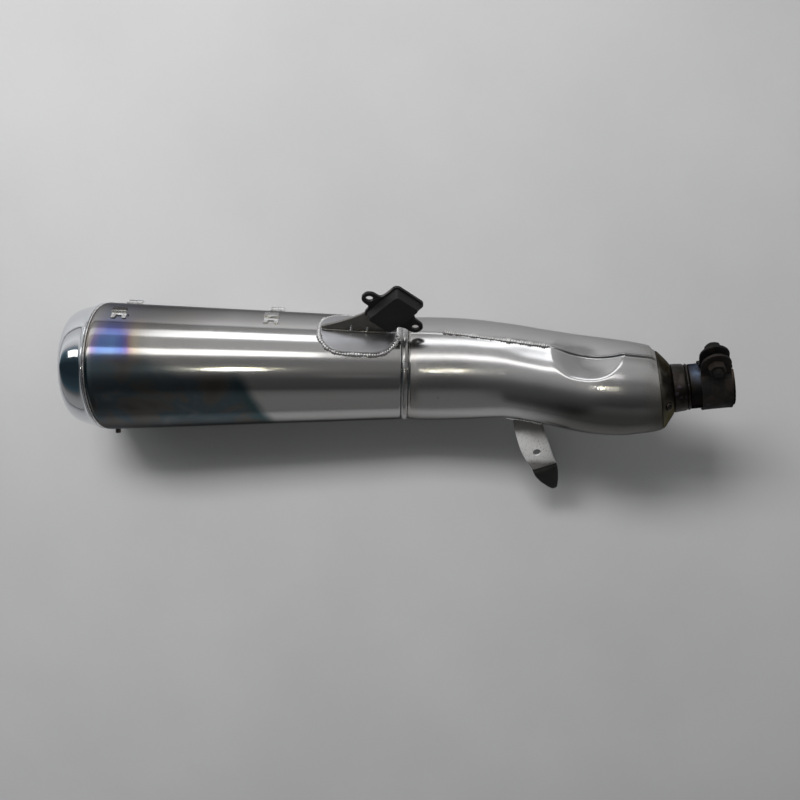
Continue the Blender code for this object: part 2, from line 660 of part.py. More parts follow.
def build_clips():
    """Four heat-shield clips: a welded foot, a riser and a raised lip."""
    spots = {"heat_shield_clip_mid_near": (-127.0, 61.0), "heat_shield_clip_mid_far": (-127.0, 103.0),
             "heat_shield_clip_rear_near": (-267.5, 59.0), "heat_shield_clip_rear_far": (-267.5, 103.0)}
    t = 1.2
    for name, (xc, psi) in spots.items():
        r = barrel_radius(xc)
        deg = lambda mm: math.degrees(mm / r)
        # section across the clip: arc position (mm), height above the skin
        sec = [(-5.5, GAP), (-5.5, GAP + t), (-0.4, GAP + t), (1.4, 4.6), (6.5, 4.9),
               (6.5, 4.9 - t), (2.4, 4.6 - t), (0.8, GAP)]
        loops = []
        for x in (xc - 6.8, xc + 6.8):
            loops.append([barrel_point(x, h, psi + deg(a)) for a, h in sec])
        finish_bm(torus_bm(loops, close=False), name, "polished_steel")

    # condensate nipple low on the rear edge
    c = Frame(barrel_point(-287.4, 0.0, -94.0), Vector((0, math.sin(math.radians(-94.0)), math.cos(math.radians(-94.0)))))
    finish_bm(revolve(c, [(0.35, 1.4), (0.35, 3.0), (1.2, 2.6), (6.2, 2.6), (6.2, 1.4)], 12), "rear_drain_nipple", "weld_steel")


TRANSFER_R, TAIL_R = 14.0, 21.0
PIPE_A, PIPE_B, TAIL = (23.0, 12.0), (-23.0, 12.0), (0.0, -16.0)


def build_inside():
    def disc(name, x, t, holes, clearance):
        r = barrel_radius(x) - SHEET - clearance
        f = Frame(vec(x, 0, axis_z(x)), (1, 0, 0))
        blank = torus_bm([[f.at(s, r - (1.0 if s > 0 else 0.0) * 0.0, 360.0 * k / 40) for k in range(40)] for s in (0.0, t)], close=False)
        ob = finish_bm(blank, name, "inner_steel")
        for i, (hy, hz, hr, sides) in enumerate(holes):
            boolean(ob, cutter(rod_bm(vec(x - 3.0, hy, AXIS_Z + hz), (1, 0, 0), t + 6.0, hr, sides), "cut_%s_%d" % (name, i)))

    AXIS_Z = axis_z(-150.0)
    a = (*PIPE_A, TRANSFER_R + 0.35, 20)
    b = (*PIPE_B, TRANSFER_R + 0.35, 20)
    tl = (*TAIL, TAIL_R + 0.35, 24)
    disc("chamber_plate_front", -34.0, 1.6, [a, (-23.0, 8.0, 7.0, 12), (0.0, -26.0, 7.0, 12)], 0.5)
    disc("chamber_plate_mid", -132.0, 1.6, [a, b, (0.0, -24.0, 6.0, 12)], 0.5)
    disc("chamber_plate_rear", -228.0, 1.6, [b, tl], 0.5)

    def pipe(name, x0, x1, at, r, segs, flare=False):
        f = Frame(vec(x0, at[0], AXIS_Z + at[1]), (1, 0, 0))
        prof = tube_profile(0.0, x1 - x0, r, r - 1.5)
        finish_bm(revolve(f, prof, segs), name, "inner_steel")

    pipe("transfer_pipe_front", -160.0, -20.0, PIPE_A, TRANSFER_R, 20)
    pipe("transfer_pipe_rear", -246.0, -104.0, PIPE_B, TRANSFER_R, 20)
    pipe("tail_pipe", -316.0, -196.0, TAIL, TAIL_R, 24)

    # dished plate that closes the outlet round the tail pipe
    x = -305.0
    r = barrel_radius(x) - 5.2 - 1.9
    f = Frame(vec(x, 0, axis_z(x)), (1, 0, 0))
    rows = [(5.8, r + 0.2), (0.4, r - 0.3), (-1.2, r - 3.5), (-1.8, r - 9.0), (-0.2, r - 9.4), (0.4, r - 3.6), (2.0, r - 1.6), (5.8, r - 1.4)]
    outer = [[f.at(s, q, 360.0 * k / 40) for k in range(40)] for s, q in rows[:4]]
    back = [[f.at(s, q, 360.0 * k / 40) for k in range(40)] for s, q in rows[4:]]
    # centre is a flat web: caps close the two faces
    bm = bmesh.new()
    ring_rows = [[bm.verts.new(p) for p in row] for row in (outer[::-1])]
    back_rows = [[bm.verts.new(p) for p in row] for row in back]
    def skin(rows_):
        for p, q in zip(rows_, rows_[1:]):
            for i in range(40):
                j = (i + 1) % 40
                bm.faces.new((p[i], p[j], q[j], q[i]))
    bm.faces.new(ring_rows[0])
    skin(ring_rows)
    skin([ring_rows[-1], back_rows[-1]])
    skin(back_rows[::-1])
    bm.faces.new(back_rows[0])
    ob = finish_bm(bm, "outlet_plate", "inner_steel")
    boolean(ob, cutter(rod_bm(vec(x - 8.0, TAIL[0], AXIS_Z + TAIL[1]), (1, 0, 0), 20.0, TAIL_R + 0.35, 24), "cut_outlet"))


def main():
    clear_scene()
    for name, (color, rough, metal) in MATERIAL_DATA.items():
        MATS[name] = material(name, color, rough, metal)
    build_barrel()
    f, length = build_front()
    build_clamp(f, length)
    build_hanger()
    build_stop()
    build_clips()
    build_inside()
    bpy.context.view_layer.update()


main()
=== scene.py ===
"""Motorcycle exhaust muffler on a pale floor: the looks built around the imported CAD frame.

Working dimensions are millimetres in the part's own frame; meshes are written in metres.
"""
import math
import bpy
import bmesh
from mathutils import Matrix, Vector, noise


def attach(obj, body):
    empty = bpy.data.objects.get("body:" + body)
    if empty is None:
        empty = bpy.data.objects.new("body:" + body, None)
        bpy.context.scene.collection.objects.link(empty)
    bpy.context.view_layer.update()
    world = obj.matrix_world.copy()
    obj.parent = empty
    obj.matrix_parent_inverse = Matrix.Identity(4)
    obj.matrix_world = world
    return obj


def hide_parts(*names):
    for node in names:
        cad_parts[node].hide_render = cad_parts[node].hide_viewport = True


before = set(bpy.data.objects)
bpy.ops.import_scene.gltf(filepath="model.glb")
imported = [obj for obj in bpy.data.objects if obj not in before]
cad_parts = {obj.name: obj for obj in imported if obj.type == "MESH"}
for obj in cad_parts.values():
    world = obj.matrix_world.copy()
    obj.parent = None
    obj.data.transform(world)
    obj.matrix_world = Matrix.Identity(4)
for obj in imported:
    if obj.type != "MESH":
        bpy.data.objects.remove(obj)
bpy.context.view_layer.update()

MM = 0.001

# ---- driving dimensions, as in the CAD ------------------------------------------------------
SHIFT = Vector((9.231, 20.58, 1.304))
R0, TAPER, RISE = 50.5, 0.0408, 0.03628
FRONT_STATIONS = [
    (3.4, 0.0, 50.6, 50.4), (20.5, 0.3, 51.8, 51.2), (61.0, 1.3, 58.0, 49.6), (100.0, 1.4, 69.0, 45.9),
    (126.0, -1.3, 77.0, 45.0), (149.0, -4.1, 84.5, 45.2), (179.4, -7.6, 93.8, 45.9), (202.3, -8.9, 100.4, 44.6),
    (216.3, -8.9, 104.0, 42.6), (228.4, -8.9, 107.1, 39.8), (236.0, -8.6, 109.1, 36.6)]
INLET_BASE, INLET_END = (236.0, -8.6, 109.1), (296.6, 1.5, 124.1)
SHELL_T = 1.5


# ---- small helpers --------------------------------------------------------------------------
def vec(x, y, z):
    return Vector((x, y, z)) + SHIFT


def smooth01(t):
    t = min(1.0, max(0.0, t))
    return t * t * (3.0 - 2.0 * t)


def wob(p, scale, seed=0.0):
    """Smooth noise in -1..1 at a wavelength of about scale mm."""
    return noise.noise(Vector(p) / scale + Vector((seed, seed * 1.7, -seed * 0.6)))


class Frame:
    """Right-handed frame: t along the axis, b towards +Y, n upwards."""

    def __init__(self, origin, t):
        self.o = Vector(origin)
        self.t = Vector(t).normalized()
        y = Vector((0, 1, 0))
        self.b = (y - self.t * y.dot(self.t)).normalized()
        self.n = self.t.cross(self.b).normalized()

    def at(self, s, r, psi):
        a = math.radians(psi)
        return self.o + self.t * s + (self.n * math.cos(a) + self.b * math.sin(a)) * r

    def radial(self, psi):
        a = math.radians(psi)
        return self.n * math.cos(a) + self.b * math.sin(a)


def catmull(values, knots, x):
    n = len(knots)
    i = 0
    while i < n - 2 and x > knots[i + 1]:
        i += 1
    h = knots[i + 1] - knots[i]
    u = (x - knots[i]) / h

    def slope(k):
        if k == 0:
            return (values[1] - values[0]) / (knots[1] - knots[0])
        if k == n - 1:
            return (values[-1] - values[-2]) / (knots[-1] - knots[-2])
        return (values[k + 1] - values[k - 1]) / (knots[k + 1] - knots[k - 1])

    m0, m1 = slope(i) * h, slope(i + 1) * h
    return ((2 * u ** 3 - 3 * u ** 2 + 1) * values[i] + (u ** 3 - 2 * u ** 2 + u) * m0
            + (-2 * u ** 3 + 3 * u ** 2) * values[i + 1] + (u ** 3 - u ** 2) * m1)


KX = [s[0] for s in FRONT_STATIONS]


def front_centre(x):
    return vec(x, catmull([s[1] for s in FRONT_STATIONS], KX, x), catmull([s[2] for s in FRONT_STATIONS], KX, x))


def front_radius(x):
    return catmull([s[3] for s in FRONT_STATIONS], KX, x)


def front_frame(x):
    h = 5.0
    a, b = max(x - h, KX[0]), min(x + h, KX[-1])
    t = (front_centre(b) - front_centre(a)).normalized()
    w0 = 1.0 - smooth01((x - KX[0]) / 12.0)
    w1 = 1.0 - smooth01((KX[-1] - x) / 12.0)
    end = (vec(*INLET_END) - vec(*INLET_BASE)).normalized()
    t = (t * (1 - w0) + Vector((1, 0, 0)) * w0).normalized()
    t = (t * (1 - w1) + end * w1).normalized()
    return Frame(front_centre(x), t)


def barrel_radius(x):
    return R0 - TAPER * x


def axis_z(x):
    return R0 - RISE * x


def barrel_point(x, r_extra, psi):
    r = barrel_radius(x)
    a = math.radians(psi)
    return vec(x, (r + r_extra) * math.sin(a), axis_z(x) + (r + r_extra) * math.cos(a))


def grid_bm(loops, close_u=True, close_v=True, caps=True):
    """Surface through rows of points. close_v joins each row's ends, close_u joins last row to first."""
    bm = bmesh.new()
    rows = [[bm.verts.new(p) for p in loop] for loop in loops]
    n = len(rows[0])
    pairs = list(zip(rows, rows[1:]))
    if close_u:
        pairs.append((rows[-1], rows[0]))
    for a, b in pairs:
        for i in range(n if close_v else n - 1):
            j = (i + 1) % n
            bm.faces.new((a[i], a[j], b[j], b[i]))
    if caps and not close_u:
        bm.faces.new(rows[0][::-1])
        bm.faces.new(rows[-1])
    return bm


def revolve(f, profile, segs=96, wave=None):
    """Closed (s, r) profile turned about the frame's axis; wave(s, psi) adds to the radius."""
    loops = []
    for k in range(segs):
        psi = 360.0 * k / segs
        loops.append([f.at(s, r + (wave(s, psi) if wave else 0.0), psi) for s, r in profile])
    return grid_bm(loops)


def barrel_loop(profile, segs=192, wave=None):
    loops = []
    for k in range(segs):
        psi = 360.0 * k / segs
        loops.append([barrel_point(x, dr + (wave(x, psi) if wave else 0.0), psi) for x, dr in profile])
    return grid_bm(loops)


def sweep(points, section, closed=False, up=None):
    """Tube along points; section(i) gives the list of (a, b) offsets at point i."""
    m = len(points)
    loops, prev = [], None
    for i, p in enumerate(points):
        if closed:
            t = (points[(i + 1) % m] - points[i - 1]).normalized()
        else:
            t = (points[min(i + 1, m - 1)] - points[max(i - 1, 0)]).normalized()
        if up is not None:
            nrm = up(i)
            nrm = (nrm - t * nrm.dot(t)).normalized()
        elif prev is None:
            ref = Vector((0, 0, 1)) if abs(t.z) < 0.9 else Vector((1, 0, 0))
            nrm = (ref - t * ref.dot(t)).normalized()
        else:
            nrm = (prev - t * prev.dot(t)).normalized()
        prev = nrm
        b = t.cross(nrm)
        loops.append([p + nrm * u + b * v for u, v in section(i)])
    return grid_bm(loops, close_u=closed)


def bead_section(radius, i, seed, sides=12, ripple=0.16, pitch=5.0, lump=0.18):
    """A fish-scale weld section: ripples along the bead and slow lumps."""
    k = 1.0 + ripple * (abs(math.sin(math.pi * i / pitch)) - 0.55) + lump * noise.noise(Vector((i * 0.11, seed, 0.3)))
    out = []
    for q in range(sides):
        a = 2 * math.pi * q / sides
        g = 1.0 + 0.08 * noise.noise(Vector((i * 0.35, q * 0.9, seed + 7.0)))
        out.append((math.cos(a) * radius * k * g, math.sin(a) * radius * k * g))
    return out


def piece(bm, name, mat, body="muffler", nodes=(), sharp=32.0, bevel=None, subsurf=0, weld=0.0005):
    """Mesh object from a bmesh in mm, riding on its body and standing for its CAD nodes."""
    if weld:
        bmesh.ops.remove_doubles(bm, verts=bm.verts, dist=weld)
    bmesh.ops.recalc_face_normals(bm, faces=bm.faces)
    if bm.calc_volume(signed=True) < 0:
        bmesh.ops.reverse_faces(bm, faces=bm.faces)
    bm.transform(Matrix.Scale(MM, 4))
    me = bpy.data.meshes.new(name)
    bm.to_mesh(me)
    bm.free()
    for v in me.vertices:
        v.co.z = max(v.co.z, 0.00001)
    me.materials.append(mat)
    me.shade_smooth()
    if sharp < 180:
        me.set_sharp_from_angle(angle=math.radians(sharp))
    ob = bpy.data.objects.new(name, me)
    bpy.context.scene.collection.objects.link(ob)
    if bevel:
        b = ob.modifiers.new("edge", "BEVEL")
        b.width = bevel * MM
        b.segments = 3
        b.limit_method = "ANGLE"
        b.angle_limit = math.radians(38)
        b.harden_normals = False
    if subsurf:
        s = ob.modifiers.new("subdivision", "SUBSURF")
        s.levels = s.render_levels = subsurf
    if body:
        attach(ob, body)
        if nodes:
            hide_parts(*nodes)
    return ob


def cut(target, bm, operation="DIFFERENCE"):
    """Exact boolean, applied at once; the tool is removed."""
    bmesh.ops.recalc_face_normals(bm, faces=bm.faces)
    if bm.calc_volume(signed=True) < 0:
        bmesh.ops.reverse_faces(bm, faces=bm.faces)
    bm.transform(Matrix.Scale(MM, 4))
    me = bpy.data.meshes.new("tool")
    bm.to_mesh(me)
    bm.free()
    tool = bpy.data.objects.new("tool", me)
    bpy.context.scene.collection.objects.link(tool)
    m = target.modifiers.new("cut", "BOOLEAN")
    m.operation, m.object, m.solver = operation, tool, "EXACT"
    while target.modifiers[0] != m:
        target.modifiers.move(target.modifiers.find("cut"), 0)
    keep = [x for x in target.modifiers if x != m]
    shown = [x.show_viewport for x in keep]
    for x in keep:
        x.show_viewport = False
    bpy.context.view_layer.update()
    dg = bpy.context.evaluated_depsgraph_get()
    new = bpy.data.meshes.new_from_object(target.evaluated_get(dg), depsgraph=dg)
    for x, s in zip(keep, shown):
        x.show_viewport = s
    target.modifiers.remove(m)
    old = target.data
    name = old.name
    target.data = new
    bpy.data.meshes.remove(old)
    new.name = name
    bpy.data.objects.remove(tool)
    bpy.data.meshes.remove(me)
    new.shade_smooth()
    new.set_sharp_from_angle(angle=math.radians(32))
    return target


def rod_bm(p0, axis, length, radius, sides):
    f = Frame(p0, axis) if abs(Vector(axis).normalized().y) < 0.95 else None
    ax = Vector(axis).normalized()
    ref = Vector((0, 0, 1)) if abs(ax.z) < 0.9 else Vector((1, 0, 0))
    a = (ref - ax * ref.dot(ax)).normalized()
    b = ax.cross(a)
    loops = []
    for s in (0.0, length):
        loops.append([Vector(p0) + ax * s + (a * math.cos(q) + b * math.sin(q)) * radius
                      for q in [2 * math.pi * k / sides for k in range(sides)]])
    return grid_bm(loops, close_u=False)


def prism_bm(outline, u, v, w, origin, w0, w1):
    o = Vector(origin)
    lo = [o + u * a + v * b + w * w0 for a, b in outline]
    hi = [o + u * a + v * b + w * w1 for a, b in outline]
    return grid_bm([lo, hi], close_u=False)


def rounded(points, radius, steps=5):
    """Closed outline with each corner rounded; radius may be one number or one per corner."""
    out = []
    n = len(points)
    for i in range(n):
        p = Vector((*points[i], 0))
        a = Vector((*points[i - 1], 0)) - p
        b = Vector((*points[(i + 1) % n], 0)) - p
        r = radius[i] if isinstance(radius, (list, tuple)) else radius
        r = min(r, a.length * 0.45, b.length * 0.45)
        if r < 0.05:
            out.append((p.x, p.y))
            continue
        s, e = p + a.normalized() * r, p + b.normalized() * r
        for k in range(steps + 1):
            t = k / steps
            q = s * (1 - t) ** 2 + p * 2 * t * (1 - t) + e * t ** 2
            out.append((q.x, q.y))
    return out


# ---- materials --------------------------------------------------------------------------------
class Mat:
    """A Principled material with helpers for its procedural nodes."""

    def __init__(self, name, metallic=1.0, rough=0.3, coat=0.0, coat_rough=0.1):
        self.m = bpy.data.materials.new(name)
        self.m.use_nodes = True
        self.nt = self.m.node_tree
        self.b = self.nt.nodes["Principled BSDF"]
        self.b.inputs["Metallic"].default_value = metallic
        self.b.inputs["Roughness"].default_value = rough
        self.b.inputs["Coat Weight"].default_value = coat
        self.b.inputs["Coat Roughness"].default_value = coat_rough
        tc = self.nt.nodes.new("ShaderNodeTexCoord")
        self.obj = tc.outputs["Object"]

    def link(self, a, b):
        self.nt.links.new(a, b)

    def put(self, node, socket, value):
        s = node.inputs[socket]
        if hasattr(value, "is_output"):
            self.link(value, s)
        else:
            s.default_value = value

    def mapping(self, scale=(1, 1, 1), loc=(0, 0, 0), rot=(0, 0, 0), src=None):
        n = self.nt.nodes.new("ShaderNodeMapping")
        self.link(src or self.obj, n.inputs["Vector"])
        n.inputs["Scale"].default_value = scale
        n.inputs["Location"].default_value = loc
        n.inputs["Rotation"].default_value = rot
        return n.outputs["Vector"]

    def noise(self, scale, detail=4.0, rough=0.5, vector=None, distortion=0.0, color=False):
        n = self.nt.nodes.new("ShaderNodeTexNoise")
        self.link(vector or self.obj, n.inputs["Vector"])
        n.inputs["Scale"].default_value = scale
        n.inputs["Detail"].default_value = detail
        n.inputs["Roughness"].default_value = rough
        n.inputs["Distortion"].default_value = distortion
        return n.outputs["Color" if color else "Fac"]

    def voronoi(self, scale, vector=None, feature="F1", out="Distance"):
        n = self.nt.nodes.new("ShaderNodeTexVoronoi")
        n.feature = feature
        self.link(vector or self.obj, n.inputs["Vector"])
        n.inputs["Scale"].default_value = scale
        return n.outputs[out]

    def sep(self, vector=None):
        n = self.nt.nodes.new("ShaderNodeSeparateXYZ")
        self.link(vector or self.obj, n.inputs[0])
        return n.outputs

    def math(self, op, a, b=0.0, clamp=False):
        n = self.nt.nodes.new("ShaderNodeMath")
        n.operation = op
        n.use_clamp = clamp
        self.put(n, 0, a)
        self.put(n, 1, b)
        return n.outputs[0]

    def span(self, value, lo, hi, to_lo=0.0, to_hi=1.0, kind="SMOOTHSTEP"):
        n = self.nt.nodes.new("ShaderNodeMapRange")
        n.interpolation_type = kind
        n.clamp = True
        self.put(n, "Value", value)
        if lo > hi:
            lo, hi, to_lo, to_hi = hi, lo, to_hi, to_lo
        n.inputs["From Min"].default_value = lo
        n.inputs["From Max"].default_value = hi
        n.inputs["To Min"].default_value = to_lo
        n.inputs["To Max"].default_value = to_hi
        return n.outputs["Result"]

    def ramp(self, fac, stops, kind="LINEAR"):
        n = self.nt.nodes.new("ShaderNodeValToRGB")
        n.color_ramp.interpolation = kind
        e = n.color_ramp.elements
        while len(e) < len(stops):
            e.new(0.5)
        for i, (p, c) in enumerate(stops):
            e[i].position = p
            e[i].color = (*c, 1.0) if not isinstance(c, float) else (c, c, c, 1.0)
        self.put(n, "Fac", fac)
        return n.outputs["Color"]

    def mix(self, fac, a, b, kind="MIX"):
        n = self.nt.nodes.new("ShaderNodeMix")
        n.data_type = "RGBA"
        n.blend_type = kind
        n.clamp_factor = True
        self.put(n, 0, fac)
        self.put(n, 6, (*a, 1.0) if isinstance(a, tuple) else a)
        self.put(n, 7, (*b, 1.0) if isinstance(b, tuple) else b)
        return n.outputs[2]

    def bump(self, height, strength, distance_mm, normal=None):
        n = self.nt.nodes.new("ShaderNodeBump")
        n.inputs["Strength"].default_value = strength
        n.inputs["Distance"].default_value = distance_mm * MM
        self.put(n, "Height", height)
        if normal is not None:
            self.link(normal, n.inputs["Normal"])
        return n.outputs["Normal"]

    def pointiness(self):
        return self.nt.nodes.new("ShaderNodeNewGeometry").outputs["Pointiness"]

    def done(self, color=None, rough=None, normal=None, metallic=None):
        if color is not None:
            self.put(self.b, "Base Color", color)
        if rough is not None:
            self.put(self.b, "Roughness", rough)
        if normal is not None:
            self.link(normal, self.b.inputs["Normal"])
        if metallic is not None:
            self.put(self.b, "Metallic", metallic)
        return self.m


def scratches(k, across=900.0, along=12.0, axis=0):
    """Fine polishing lines: noise stretched along one axis."""
    sc = [across] * 3
    sc[axis] = along
    return k.noise(1.0, 3.0, 0.6, vector=k.mapping(scale=tuple(sc)))


def mat_barrel():
    k = Mat("barrel_polished", rough=0.12)
    k.b.inputs["Specular Tint"].default_value = (0.32, 0.32, 0.33, 1.0)
    s = k.sep()
    xd = k.math("ADD", s[0], -0.009231)
    wav = k.math("MULTIPLY", k.math("SUBTRACT", k.noise(26.0, 3.0), 0.5), 0.010)
    xt = k.math("ADD", xd, wav)
    clear = (0.600, 0.592, 0.585)
    f = k.span(xt, -0.292, -0.232, kind="LINEAR")
    tint = k.ramp(f, [
        (0.00, (0.40, 0.36, 0.31)), (0.06, (0.46, 0.42, 0.40)), (0.11, (0.26, 0.21, 0.38)),
        (0.20, (0.13, 0.20, 0.44)), (0.38, (0.14, 0.24, 0.48)), (0.54, (0.12, 0.16, 0.42)),
        (0.62, (0.20, 0.15, 0.34)), (0.68, (0.38, 0.28, 0.27)), (0.75, (0.47, 0.41, 0.33)),
        (0.86, (0.47, 0.455, 0.43)), (1.00, (0.53, 0.52, 0.50))])
    g = k.span(xt, -0.236, -0.165)
    tint = k.mix(g, tint, clear)
    # deeper violet and grey-brown higher on the barrel, and a darker grey towards the crown
    dy = k.math("ADD", s[1], -0.02058)
    upper = k.span(dy, 0.030, 0.042)
    f2 = k.span(xt, -0.292, -0.162, kind="LINEAR")
    deep = k.ramp(f2, [
        (0.00, (0.38, 0.36, 0.34)), (0.035, (0.34, 0.33, 0.33)), (0.07, (0.24, 0.21, 0.33)),
        (0.14, (0.13, 0.15, 0.36)), (0.22, (0.14, 0.14, 0.34)), (0.28, (0.24, 0.20, 0.27)),
        (0.34, (0.33, 0.29, 0.25)), (0.45, (0.33, 0.32, 0.31)), (0.65, (0.44, 0.43, 0.42)), (0.86, (0.60, 0.59, 0.58)), (1.00, clear)])
    tint = k.mix(upper, tint, deep)
    crown = k.span(dy, 0.040, 0.054)
    grey = k.ramp(f2, [(0.00, (0.36, 0.35, 0.34)), (0.10, (0.25, 0.26, 0.29)), (0.35, (0.21, 0.21, 0.22)), (0.60, (0.26, 0.255, 0.25)),
                       (0.85, (0.34, 0.335, 0.33)), (1.00, (0.42, 0.415, 0.41))])
    tint = k.mix(k.math("MULTIPLY", crown, 0.95), tint, grey)
    # painted dark reflection on the low flank, with real blue and teal tint patches in it, ended by a slanting edge
    edge = k.math("MULTIPLY", dy, -0.55)
    edge = k.math("ADD", edge, -0.1510)
    wav2 = k.math("MULTIPLY", k.math("SUBTRACT", k.noise(16.0, 4.0), 0.5), 0.026)
    d = k.math("ADD", k.math("SUBTRACT", xd, edge), wav2)
    left = k.span(d, 0.004, -0.010)
    rise = k.span(xd, -0.195, -0.250, 0.0, 0.017)
    low = k.span(k.math("SUBTRACT", dy, rise), 0.010, -0.008)
    dark_reflection = k.math("MULTIPLY", left, low)
    n1 = k.noise(20.0, 5.0, 0.6, distortion=0.6)
    reflection_blot = k.ramp(n1, [(0.30, (0.105, 0.10, 0.092)), (0.46, (0.155, 0.15, 0.14)), (0.56, (0.10, 0.145, 0.17)),
                       (0.64, (0.16, 0.185, 0.20)), (0.74, (0.21, 0.19, 0.145))])
    rim = k.math("MULTIPLY", k.span(d, -0.024, -0.008), k.span(d, 0.003, -0.004))
    reflection_blot = k.mix(k.math("MULTIPLY", rim, 0.8), reflection_blot, (0.055, 0.125, 0.145))
    col = k.mix(k.math("MULTIPLY", dark_reflection, 0.97), tint, reflection_blot)
    # painted shade: the belly is darkened for the shaded floor it reflects
    belly_shade = k.span(k.math("ADD", dy, k.math("MULTIPLY", k.math("SUBTRACT", n1, 0.5), 0.008)), -0.040, -0.053)
    col = k.mix(k.math("MULTIPLY", belly_shade, 0.60), col, (0.17, 0.165, 0.155))
    # general handling film and tiny specks
    haze = k.noise(7.0, 4.0, 0.55)
    col = k.mix(k.span(haze, 0.45, 0.75, 0.0, 0.22), col, (0.50, 0.47, 0.43))
    speck = k.span(k.voronoi(95.0), 0.055, 0.030)
    speck = k.math("MULTIPLY", speck, k.span(k.noise(30.0, 2.0), 0.60, 0.66))
    col = k.mix(speck, col, (0.10, 0.08, 0.07))
    sc = scratches(k, 1500.0, 14.0)
    r = k.span(sc, 0.3, 0.7, 0.095, 0.150, "LINEAR")
    r = k.math("ADD", r, k.span(haze, 0.40, 0.75, 0.0, 0.05))
    r = k.math("ADD", r, k.math("MULTIPLY", dark_reflection, 0.06))
    r = k.math("ADD", r, k.math("MULTIPLY", speck, 0.4))
    nrm = k.bump(sc, 0.10, 0.02)
    return k.done(col, r, nrm)


def mat_front():
    k = Mat("front_polished", rough=0.14)
    k.b.inputs["Specular Tint"].default_value = (0.70, 0.70, 0.71, 1.0)
    s = k.sep()
    haze = k.noise(9.0, 5.0, 0.55)
    fine = k.noise(120.0, 4.0, 0.6)
    col = k.mix(k.span(haze, 0.42, 0.72, 0.0, 0.30), (0.575, 0.570, 0.572), (0.45, 0.435, 0.415))
    # brown and olive dirt gathers towards the end cone
    g = k.math("ADD", s[0], k.math("MULTIPLY", k.math("SUBTRACT", k.noise(40.0, 4.0), 0.5), 0.030))
    dirt = k.span(g, 0.214, 0.246)
    lowy = k.span(s[1], 0.035, -0.020)
    dirt = k.math("MULTIPLY", dirt, k.math("ADD", 0.35, k.math("MULTIPLY", lowy, 0.5)))
    col = k.mix(dirt, col, k.ramp(k.noise(60.0, 4.0), [(0.35, (0.10, 0.085, 0.055)), (0.6, (0.22, 0.20, 0.13))]))
    # painted shadow with brown discolouration beside the joint band; painted shade, with some dirt, on the underside
    # from the stop forward, for the shaded floor it reflects
    b0 = k.span(s[0], 0.030, 0.014)
    col = k.mix(k.math("MULTIPLY", b0, 0.22), col, (0.34, 0.28, 0.20))
    low_shade_and_dirt = k.math("MULTIPLY", k.span(k.math("ADD", s[0], k.math("MULTIPLY", k.math("SUBTRACT", haze, 0.5), 0.04)), 0.110, 0.160), k.span(s[1], 0.012, -0.010))
    col = k.mix(k.math("MULTIPLY", low_shade_and_dirt, 0.85), col, (0.105, 0.105, 0.095))
    # painted shade: the underside is darkened for the shaded floor it reflects
    under = k.span(k.math("ADD", s[1], k.math("MULTIPLY", k.math("SUBTRACT", haze, 0.5), 0.006)), -0.016, -0.026)
    col = k.mix(k.math("MULTIPLY", under, 0.72), col, (0.16, 0.155, 0.14))
    speck = k.span(k.voronoi(80.0), 0.070, 0.040)
    speck = k.math("MULTIPLY", speck, k.span(k.noise(24.0, 2.0), 0.58, 0.64))
    col = k.mix(speck, col, (0.06, 0.05, 0.045))
    sc = scratches(k, 1300.0, 16.0)
    r = k.span(sc, 0.3, 0.7, 0.165, 0.225, "LINEAR")
    r = k.math("ADD", r, k.span(haze, 0.42, 0.75, 0.0, 0.05))
    r = k.math("ADD", r, k.math("MULTIPLY", dirt, 0.30))
    r = k.math("ADD", r, k.math("MULTIPLY", speck, 0.4))
    nrm = k.bump(sc, 0.10, 0.02)
    nrm = k.bump(fine, 0.05, 0.05, nrm)
    return k.done(col, r, nrm)


def mat_chrome():
    k = Mat("bright_trim", rough=0.06)
    haze = k.noise(14.0, 4.0)
    col = k.mix(k.span(haze, 0.45, 0.8, 0.0, 0.3), (0.74, 0.76, 0.79), (0.60, 0.60, 0.60))
    sc = scratches(k, 300.0, 1500.0)
    r = k.span(sc, 0.3, 0.7, 0.045, 0.085, "LINEAR")
    r = k.math("ADD", r, k.span(haze, 0.5, 0.8, 0.0, 0.06))
    return k.done(col, r, k.bump(sc, 0.05, 0.01))


def mat_weld(name, base=(0.60, 0.58, 0.55), dark=(0.20, 0.16, 0.12), amount=0.5, rough=0.20):
    k = Mat(name, rough=rough)
    n = k.noise(140.0, 4.0, 0.6)
    m = k.noise(38.0, 3.0)
    col = k.mix(k.span(m, 0.45, 0.62, 0.0, amount), base, dark)
    col = k.mix(k.span(n, 0.55, 0.75, 0.0, 0.6 * amount), col, (0.30, 0.22, 0.32))
    r = k.span(n, 0.3, 0.7, rough * 0.7, rough * 1.5, "LINEAR")
    return k.done(col, r, k.bump(n, 0.35, 0.10))


def mat_pad():
    k = Mat("pad_brushed", rough=0.30)
    sc = scratches(k, 900.0, 20.0)
    haze = k.noise(22.0, 4.0)
    col = k.mix(k.span(haze, 0.4, 0.75, 0.0, 0.5), (0.47, 0.47, 0.49), (0.36, 0.36, 0.37))
    r = k.span(sc, 0.3, 0.7, 0.33, 0.44, "LINEAR")
    nrm = k.bump(sc, 0.18, 0.03)
    nrm = k.bump(k.noise(60.0, 3.0), 0.08, 0.3, nrm)
    return k.done(col, r, nrm)


def mat_stay():
    k = Mat("stay_steel", rough=0.34)
    sc = scratches(k, 700.0, 40.0)
    haze = k.noise(34.0, 5.0, 0.6)
    col = k.mix(k.span(haze, 0.38, 0.65), (0.30, 0.29, 0.27), (0.15, 0.135, 0.115))
    worn = k.span(k.pointiness(), 0.53, 0.60)
    col = k.mix(worn, col, (0.70, 0.69, 0.66))
    r = k.span(sc, 0.3, 0.7, 0.26, 0.44, "LINEAR")
    return k.done(col, r, k.bump(haze, 0.15, 0.2, k.bump(sc, 0.2, 0.03)))


